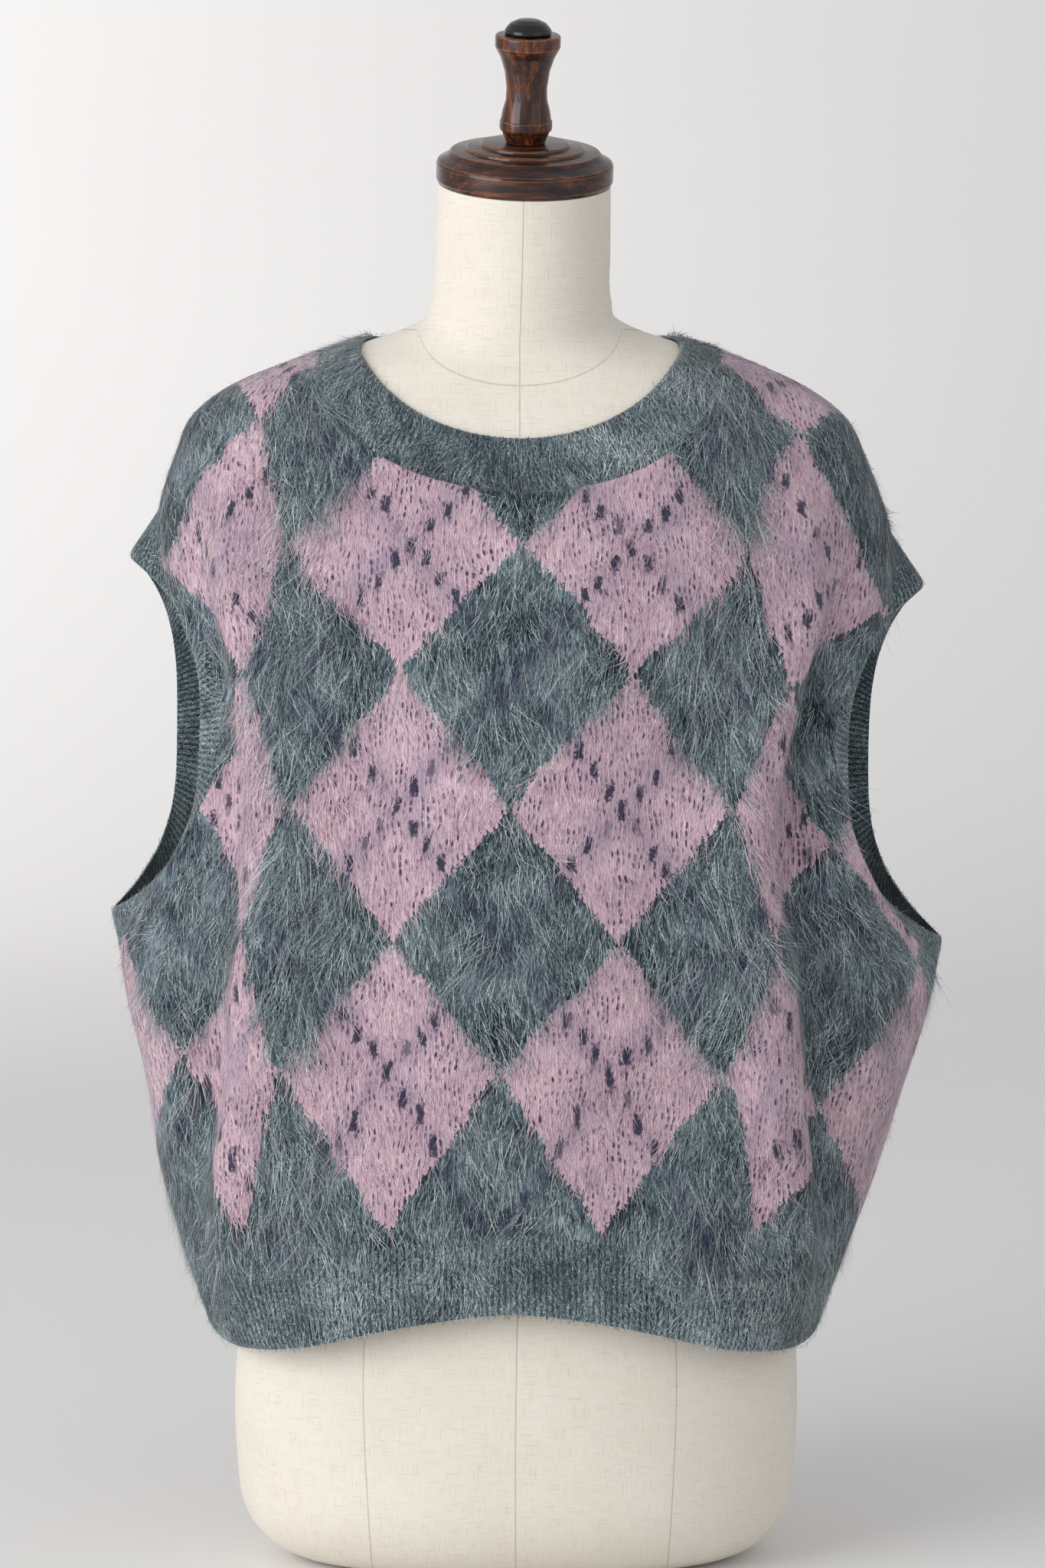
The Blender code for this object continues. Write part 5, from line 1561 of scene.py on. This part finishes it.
swirl = add(pile_tree, NOISE, {"Vector": place, "Scale": SWIRLS, "Detail": 2.0})
swirl = {0: swirl.outputs["Color"], 1: NOISE_MIDDLE}
swirl = add(pile_tree, VECTOR, swirl, operation="SUBTRACT")
swirl = add(pile_tree, VECTOR, {0: swirl, "Scale": SWIRL}, operation="SCALE")
astray = add(
    pile_tree,
    RANDOM,
    {"Min": tuple(-a for a in ASTRAY), "Max": ASTRAY, "Seed": given["Seed"]},
    data_type="FLOAT_VECTOR",
)
way = add(pile_tree, VECTOR, {0: read_back["comb"], 1: swirl}, operation="ADD")
way = add(pile_tree, VECTOR, {0: way, 1: astray}, operation="ADD")
inwards = add(pile_tree, VECTOR, {0: way, 1: out}, operation="DOT_PRODUCT")
inwards = add(pile_tree, VECTOR, {0: out, "Scale": inwards.outputs["Value"]}, operation="SCALE")
way = add(pile_tree, VECTOR, {0: way, 1: inwards}, operation="SUBTRACT")
way = add(pile_tree, VECTOR, {0: way}, operation="NORMALIZE")
lift = add(pile_tree, MATH, {0: chances[1], 1: given["Lift"]}, operation="MULTIPLY")
raised = add(pile_tree, VECTOR, {0: out, "Scale": lift}, operation="SCALE")
way = add(pile_tree, VECTOR, {0: way, 1: raised}, operation="ADD")
turned_way = add(
    pile_tree,
    "FunctionNodeAxesToRotation",
    {"Primary Axis": way, "Secondary Axis": out},
    primary_axis="X",
    secondary_axis="Z",
)

# %% How it bends: with its tuft, a little on its own, and back to the cloth
wave = add(pile_tree, NOISE, {"Vector": place, "Scale": WAVES, "Detail": 2.0})
wave = {0: wave.outputs["Color"], 1: NOISE_MIDDLE}
wave = add(pile_tree, VECTOR, wave, operation="SUBTRACT")
wave = add(pile_tree, VECTOR, {0: wave, "Scale": WAVE}, operation="SCALE")
alone = add(
    pile_tree,
    RANDOM,
    {"Min": (-0.28, -0.28, -0.45), "Max": (0.28, 0.28, 0.1), "Seed": given["Seed"]},
    data_type="FLOAT_VECTOR",
)
wave = add(pile_tree, VECTOR, {0: wave, 1: alone}, operation="ADD")
back = add(pile_tree, MATH, {0: lift, 1: -0.75}, operation="MULTIPLY")
back = add(pile_tree, VECTOR, {0: out, "Scale": back}, operation="SCALE")
wave = add(pile_tree, VECTOR, {0: wave, 1: back}, operation="ADD")
wave = add(pile_tree, VECTOR, {0: wave, "Scale": length}, operation="SCALE")
points = {"Geometry": scatter.outputs["Points"], "Name": "bend", "Value": wave}
points = add(pile_tree, STORE, points, data_type="FLOAT_VECTOR")
drawn = add(pile_tree, VECTOR, {0: cut_place, 1: CLUMPS}, operation="MULTIPLY")
clump = add(pile_tree, NOISE, {"Vector": drawn, "Scale": 1.0, "Detail": 2.0})
ranges = {"Value": clump, "From Min": 0.36, "From Max": 0.64}
clump = add(pile_tree, RANGE, ranges)
tone = add(pile_tree, MIX, {"Factor": 0.5, "A": chances[2], "B": clump})
points = add(pile_tree, STORE, {"Geometry": points, "Name": "tone", "Value": tone})
number = add(pile_tree, "GeometryNodeInputIndex")
points = {"Geometry": points, "Name": "fibre", "Value": number}
points = add(pile_tree, STORE, points, data_type="INT")

# %% One fibre: a strip of three faces that narrows to its tip
sizes = {"Size X": 1.0, "Size Y": 1.0, "Vertices X": 4, "Vertices Y": 2}
strip = add(pile_tree, "GeometryNodeMeshGrid", sizes).outputs["Mesh"]
split = add(pile_tree, "ShaderNodeSeparateXYZ", {0: place})
along = add(pile_tree, MATH, {0: split.outputs[0], 1: 0.5}, operation="ADD")
beside = add(pile_tree, MATH, {0: split.outputs[1], 1: 0.5}, operation="ADD")
strip = add(pile_tree, STORE, {"Geometry": strip, "Name": "along", "Value": along})
strip = add(pile_tree, STORE, {"Geometry": strip, "Name": "beside", "Value": beside})
narrow = add(pile_tree, MATH, {0: along, 1: 2.2}, operation="POWER")
narrow = add(pile_tree, MATH, {0: narrow, 1: -0.88, 2: 1.0}, operation="MULTIPLY_ADD")
narrow = add(pile_tree, MATH, {0: narrow, 1: split.outputs[1]}, operation="MULTIPLY")
tapered = add(pile_tree, "ShaderNodeCombineXYZ", {0: along, 1: narrow})
strip = add(pile_tree, "GeometryNodeSetPosition", {"Geometry": strip, "Position": tapered})

size = add(pile_tree, "ShaderNodeCombineXYZ", {0: length, 1: given["Width"], 2: 1.0})
fibres = {"Points": points, "Instance": strip, "Rotation": turned_way, "Scale": size}
fibres = add(pile_tree, "GeometryNodeInstanceOnPoints", fibres)
fibres = add(pile_tree, "GeometryNodeRealizeInstances", {"Geometry": fibres})

# %% Bending the fibres, and a place in a picture for each, for an export
bent = add(pile_tree, MATH, {0: read_back["along"], 1: 2.0}, operation="POWER")
bent = add(pile_tree, VECTOR, {0: read_back["bend"], "Scale": bent}, operation="SCALE")
fibres = add(pile_tree, "GeometryNodeSetPosition", {"Geometry": fibres, "Offset": bent})
number = read_back["fibre"]
cell_u = add(pile_tree, MATH, {0: number, 1: float(MOST_FIBRES)}, operation="MODULO")
cell_v = add(pile_tree, MATH, {0: number, 1: 1 / MOST_FIBRES}, operation="MULTIPLY")
cell_v = add(pile_tree, MATH, {0: cell_v}, operation="FLOOR")
cells = []
for cell, part in ((cell_u, "beside"), (cell_v, "along")):
    inside = {0: read_back[part], 1: 0.6, 2: 0.2}
    inside = add(pile_tree, MATH, inside, operation="MULTIPLY_ADD")
    inside = add(pile_tree, MATH, {0: inside, 1: cell}, operation="ADD")
    cells.append(add(pile_tree, MATH, {0: inside, 1: 1 / MOST_FIBRES}, operation="MULTIPLY"))
cells = add(pile_tree, "ShaderNodeCombineXYZ", {0: cells[0], 1: cells[1]})
fibres = {"Geometry": fibres, "Name": "OFBake", "Value": cells}
fibres = add(pile_tree, STORE, fibres, data_type="FLOAT2", domain="CORNER")
fibres = {"Geometry": fibres, "Material": given["Material"]}
fibres = add(pile_tree, "GeometryNodeSetMaterial", fibres)
pile_tree.links.new(fibres.outputs[0], result.inputs["Pile"])
print("pile nodes:", len(pile_tree.nodes))

# %% [markdown]
# ## Mohair fibre
#
# A mohair fibre is smooth and a little lustrous, so it is lighter at the tip, where it
# catches the light. Its colour is painted dark at the root, as painted shade under the pile.
# Grey melange yarn holds both pale and dark fibres.

# %% Fibre material
SPECKS = 650.0  # light and dark lengths of melange yarn, in a metre
fibre, tree, shader = new_material("mohair_fibre")
root = add(tree, "ShaderNodeAttribute", attribute_name="root")
tone = add(tree, "ShaderNodeAttribute", attribute_name="tone")
along = add(tree, "ShaderNodeAttribute", attribute_name="along")
place = add(tree, "ShaderNodeTexCoord").outputs["Object"]
speck = add(tree, NOISE, {"Vector": place, "Scale": SPECKS, "Detail": 2.0})
speck = add(tree, MATH, {0: speck, 1: 1.1, 2: -0.55}, operation="MULTIPLY_ADD")
tone = add(tree, MATH, {0: tone.outputs["Fac"], 1: speck}, operation="ADD")
pattern = add(tree, "ShaderNodeGroup", {}, node_tree=argyle)
tree.links.new(root.outputs["Vector"], pattern.inputs["Cloth"])
grey = add(
    tree,
    RAMP,
    {0: tone},
    stops=((0.0, "#182329"), (0.32, "#4b5d64"), (0.66, "#9dacb0"), (1.0, "#e8eeee")),
)
rose = add(
    tree,
    RAMP,
    {0: tone},
    stops=((0.0, "#9d7f90"), (0.3, "#c9a9b6"), (0.7, "#dec5cd"), (1.0, "#f3e5e8")),
)
cloth_colour = add(
    tree,
    MIX,
    {"Factor": pattern.outputs["Pink"], "A": grey, "B": rose},
    data_type="RGBA",
)
navy = add(tree, MATH, {0: pattern.outputs["Near raker"], 1: tone}, operation="MULTIPLY")
ranges = {"Value": navy, "From Min": 0.45, "From Max": 0.9, "To Max": 0.4}
navy = add(tree, RANGE, ranges)
navy = add(tree, MATH, {0: navy, 1: pattern.outputs["Raker"]}, operation="MAXIMUM")
cloth_colour = add(
    tree,
    MIX,
    {"Factor": navy, "A": cloth_colour, "B": linear("#3c3a5c")},
    data_type="RGBA",
)
# Painted shade: each fibre's colour darkens towards its root, where the pile shades itself.
ranges = {"Value": along.outputs["Fac"], "From Max": 0.5, "To Min": 0.55, "To Max": 0.0}
painted_root_shade = add(tree, RANGE, ranges)
root_shaded_colour = add(
    tree,
    MIX,
    {"Factor": painted_root_shade, "A": cloth_colour, "B": linear("#3d4750")},
    data_type="RGBA",
)
tree.links.new(root_shaded_colour.outputs[2], shader.inputs["Base Color"])
shader.inputs["Roughness"].default_value = 0.7
shader.inputs["Specular IOR Level"].default_value = 0.3
shader.inputs["Sheen Weight"].default_value = 0.25

# %% [markdown]
# ## Growing the pile
#
# A skin is the outer face of a piece, with three things at each of its points: its place on
# the flat cut, the direction down the cloth, and how thickly the pile grows there.


# %% Skins and their pile
def skin(key, places, grow, brushed):
    """The outer face of a piece, ready for its pile."""
    grid, out = grids[key], outs[key]
    outer = grid + out * KNIT
    down = -np.gradient(outer, axis=0)
    if key in RINGS:
        outer, down = [np.concatenate([part, part[:, :1]], axis=1) for part in (outer, down)]
    down = unit(down)
    down = unit(down + (0, 0, -0.6))
    root = np.concatenate([places, np.zeros((*places.shape[:2], 1))], axis=-1)
    values = {
        "root": root.reshape(-1, 3),
        "comb": down.reshape(-1, 3),
        "grow": np.broadcast_to(grow, outer.shape[:2]).ravel(),
        "brushed": np.broadcast_to(brushed, outer.shape[:2]).ravel(),
    }
    ids = np.arange(outer[..., 0].size).reshape(outer.shape[:2])
    faces = grid_faces(ids)
    a, b, c = (outer.reshape(-1, 3)[faces[:, n]] for n in (0, 1, 2))
    wide_out = np.concatenate([out, out[:, :1]], axis=1) if key in RINGS else out
    turned_in = np.cross(b - a, c - a) * wide_out.reshape(-1, 3)[faces[:, 0]]
    if turned_in.sum() < 0:
        faces = faces[:, ::-1]
    return outer.reshape(-1, 3), faces, values


def pile(name, skins, slot, seed, **settings):
    """The pile on one or more skins, as one piece."""
    points, faces, values, first = [], [], {}, 0
    for skin_points, skin_faces, skin_values in skins:
        points.append(skin_points)
        faces.append(skin_faces + first)
        first += len(skin_points)
        for key, numbers in skin_values.items():
            values.setdefault(key, []).append(numbers)
    mesh = bpy.data.meshes.new(name)
    mesh.from_pydata(np.concatenate(points).tolist(), [], np.concatenate(faces).tolist())
    for key, numbers in values.items():
        numbers = np.concatenate(numbers)
        many = numbers.ndim > 1
        store = mesh.attributes.new(key, "FLOAT_VECTOR" if many else "FLOAT", "POINT")
        store.data.foreach_set("vector" if many else "value", numbers.astype(float).ravel())
    carrier = bpy.data.objects.new(name, mesh)
    bpy.context.scene.collection.objects.link(carrier)
    grower = carrier.modifiers.new("grow", "NODES")
    grower.node_group = pile_tree
    settings = {"Seed": seed, "Material": fibre, **settings}
    for item in pile_tree.interface.items_tree:
        if item.in_out == "INPUT" and item.name in settings:
            grower[item.identifier] = settings[item.name]
    graph = bpy.context.evaluated_depsgraph_get()
    grown = bpy.data.meshes.new_from_object(carrier.evaluated_get(graph))
    bpy.data.objects.remove(carrier)
    grown.materials.clear()
    grown.materials.append(fibre)
    grown.polygons.foreach_set("material_index", np.zeros(len(grown.polygons), np.int32))
    grown.shade_smooth()
    piece = bpy.data.objects.new(name, grown)
    bpy.context.scene.collection.objects.link(piece)
    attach(piece, "root")
    print(name, len(grown.polygons) // 3, "fibres")
    return piece


# The ridges of the two deep folds are rubbed most, so their pile is longer and thicker.
RIDGE, RIDGE_WIDTH, RIDGE_FROM, RIDGE_TO = 0.128, 0.030, 0.30, 0.48
LOW_SHARE = 0.35  # how much of that is left low down
THICKER, LONGER = 0.6, 0.7
front_u, front_v = flats["front"][..., 0], flats["front"][..., 1]
rubbed = np.exp(-(((np.abs(front_u) - RIDGE) / RIDGE_WIDTH) ** 2))
rubbed *= LOW_SHARE + (1 - LOW_SHARE) * ease(RIDGE_FROM, RIDGE_TO, front_v)
front_skin = skin("front", flats["front"], 1 + THICKER * rubbed, 1 + LONGER * rubbed)
back_skin = skin("back", flats["back"], 1.0, 1.0)
LONG = {"Grey length": 0.0155, "Pink length": 0.010, "Width": 0.00034, "Lift": 0.32}
SHORT = {"Grey length": 0.009, "Pink length": 0.0060, "Width": 0.00032, "Lift": 0.40}
piles = {
    "front_long": pile(
        "front_pile_long",
        [front_skin],
        "brushed_argyle_knit",
        11,
        **LONG,
        **{"Grey density": 165000.0, "Pink density": 45000.0},
    ),
    "front_short": pile(
        "front_pile_short",
        [front_skin],
        "brushed_argyle_knit",
        23,
        **SHORT,
        **{"Grey density": 110000.0, "Pink density": 115000.0},
    ),
    "back": pile(
        "back_pile",
        [back_skin],
        "brushed_argyle_knit",
        37,
        **{**LONG, "Width": 0.00045},
        **{"Grey density": 132000.0, "Pink density": 78000.0},
    ),
}

# %% The bands' short fuzz
BAND_SHRUNK = 0.05  # a band's places, drawn together so that they fit
EDGE_SHARE = 0.35  # how long the fuzz is at an edge that wears


def band_places(key):
    """Places in a grey diamond, away from its rakers, for the points of a band."""
    grid = grids[key]
    if key in RINGS:
        grid = np.concatenate([grid, grid[:, :1]], axis=1)
    plain = (-0.25 * DIAMOND_WIDTH, DIAMOND_ROW + 0.5 * DIAMOND_HEIGHT)
    along = run_length(grid, axis=1)
    along = (along - along[:, -1:] / 2) * BAND_SHRUNK
    up = run_length(grid) * BAND_SHRUNK
    return np.stack([along, up], axis=-1) + plain


# Along a free edge that hangs down, wear keeps the fuzz short.
band_skins = {}
for _, key, _, free_row in BANDS:
    from_edge = np.linspace(0, 1, len(grids[key]))
    kept = EDGE_SHARE + (1 - EDGE_SHARE) * ease(0.0, 0.4, from_edge) if free_row == 0 else 1.0
    kept = np.reshape(kept, (-1, 1))
    band_skins[key] = skin(key, band_places(key), 1.0, kept)
for name, keys, seed, density, length, lift in (
    ("neck", ("neckband",), 41, 560000.0, 0.0120, 0.50),
    ("hem", ("hem_front", "hem_back"), 43, 250000.0, 0.0062, 0.42),
    ("arms", ("armband_left", "armband_right"), 47, 160000.0, 0.0055, 0.5),
):
    piles[name] = pile(
        f"{name}_fuzz",
        [band_skins[key] for key in keys],
        "plain_rib_knit",
        seed,
        **{"Grey density": density, "Grey length": length, "Lift": lift, "Width": 0.0004},
    )

# %% [markdown]
# ## Studio
#
# Soft daylight from a large window on the left, a weak fill from the right, a lamp that lights
# only the wall, and a plain pale backdrop that curves into the floor. The render keeps colours
# as they are set.

# %% Backdrop
BACKDROP_Y, BACKDROP_TURN = 4.4, 1.6  # well behind, so that it can be walked round
profile = [(-9.0, 0.0), (BACKDROP_Y - BACKDROP_TURN, 0.0)]
for angle in np.radians(np.linspace(6, 90, 15)):
    profile.append(
        (
            BACKDROP_Y - BACKDROP_TURN + BACKDROP_TURN * np.sin(angle),
            BACKDROP_TURN * (1 - np.cos(angle)),
        )
    )
profile.append((BACKDROP_Y, 5.0))
points = [(x, y, z - 0.0005) for x in (-9.0, 9.0) for y, z in profile]
ids = np.arange(len(points)).reshape(2, -1)
backdrop = mesh_piece("backdrop", points, grid_faces(ids))
paper, tree, shader = new_material("backdrop_paper")
place = add(tree, "ShaderNodeTexCoord").outputs["Object"]
noise = add(tree, NOISE, {"Vector": place, "Scale": 1.2, "Detail": 2.0})
pale = {"Factor": noise, "A": linear("#edebe9"), "B": linear("#f2f0ee")}
pale = add(tree, MIX, pale, data_type="RGBA")
tree.links.new(pale.outputs[2], shader.inputs["Base Color"])
shader.inputs["Roughness"].default_value = 0.95
shader.inputs["Specular IOR Level"].default_value = 0.1
backdrop.data.materials.append(paper)
backdrop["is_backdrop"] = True

# %% Lights
LIGHTS = (
    # name, place, aim, size, spread, watts
    ("window", (-2.4, -2.0, 1.25), (0, 0, 0.5), 2.4, 180, 74.0),
    ("fill", (2.4, -2.2, 1.3), (0, 0, 0.5), 2.6, 180, 9.0),
    ("wall", (-1.8, 1.2, 1.6), (-1.5, 4.4, 0.9), 1.5, 100, 15.0),
)
for name, place, aim, size, spread, watts in LIGHTS:
    light = bpy.data.lights.new(name, "AREA")
    light.size = size
    light.spread = np.radians(spread)
    light.energy = watts
    lamp = bpy.data.objects.new(name, light)
    lamp.location = place
    way = Vector(aim) - Vector(place)
    lamp.rotation_euler = way.to_track_quat("-Z", "Y").to_euler()
    bpy.context.scene.collection.objects.link(lamp)
world = bpy.data.worlds.new("studio")
bpy.context.scene.world = world
world.use_nodes = True
world.node_tree.nodes["Background"].inputs[0].default_value = linear("#e9ebee")
world.node_tree.nodes["Background"].inputs[1].default_value = 0.68
bpy.context.scene.view_settings.view_transform = "Standard"

# %% [markdown]
# ## The flat sizes
#
# Each knitted piece is a sheet of cloth that was shaped flat, and its flat size is worked out
# again here.

# %% The sheets
for side in ("front", "back"):
    width, length, area = flat_size(flats[side])

# %% Its size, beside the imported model's
visual_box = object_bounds()
sizes = {"cad": [list(c) for c in cad_box], "visual": [list(c) for c in visual_box]}
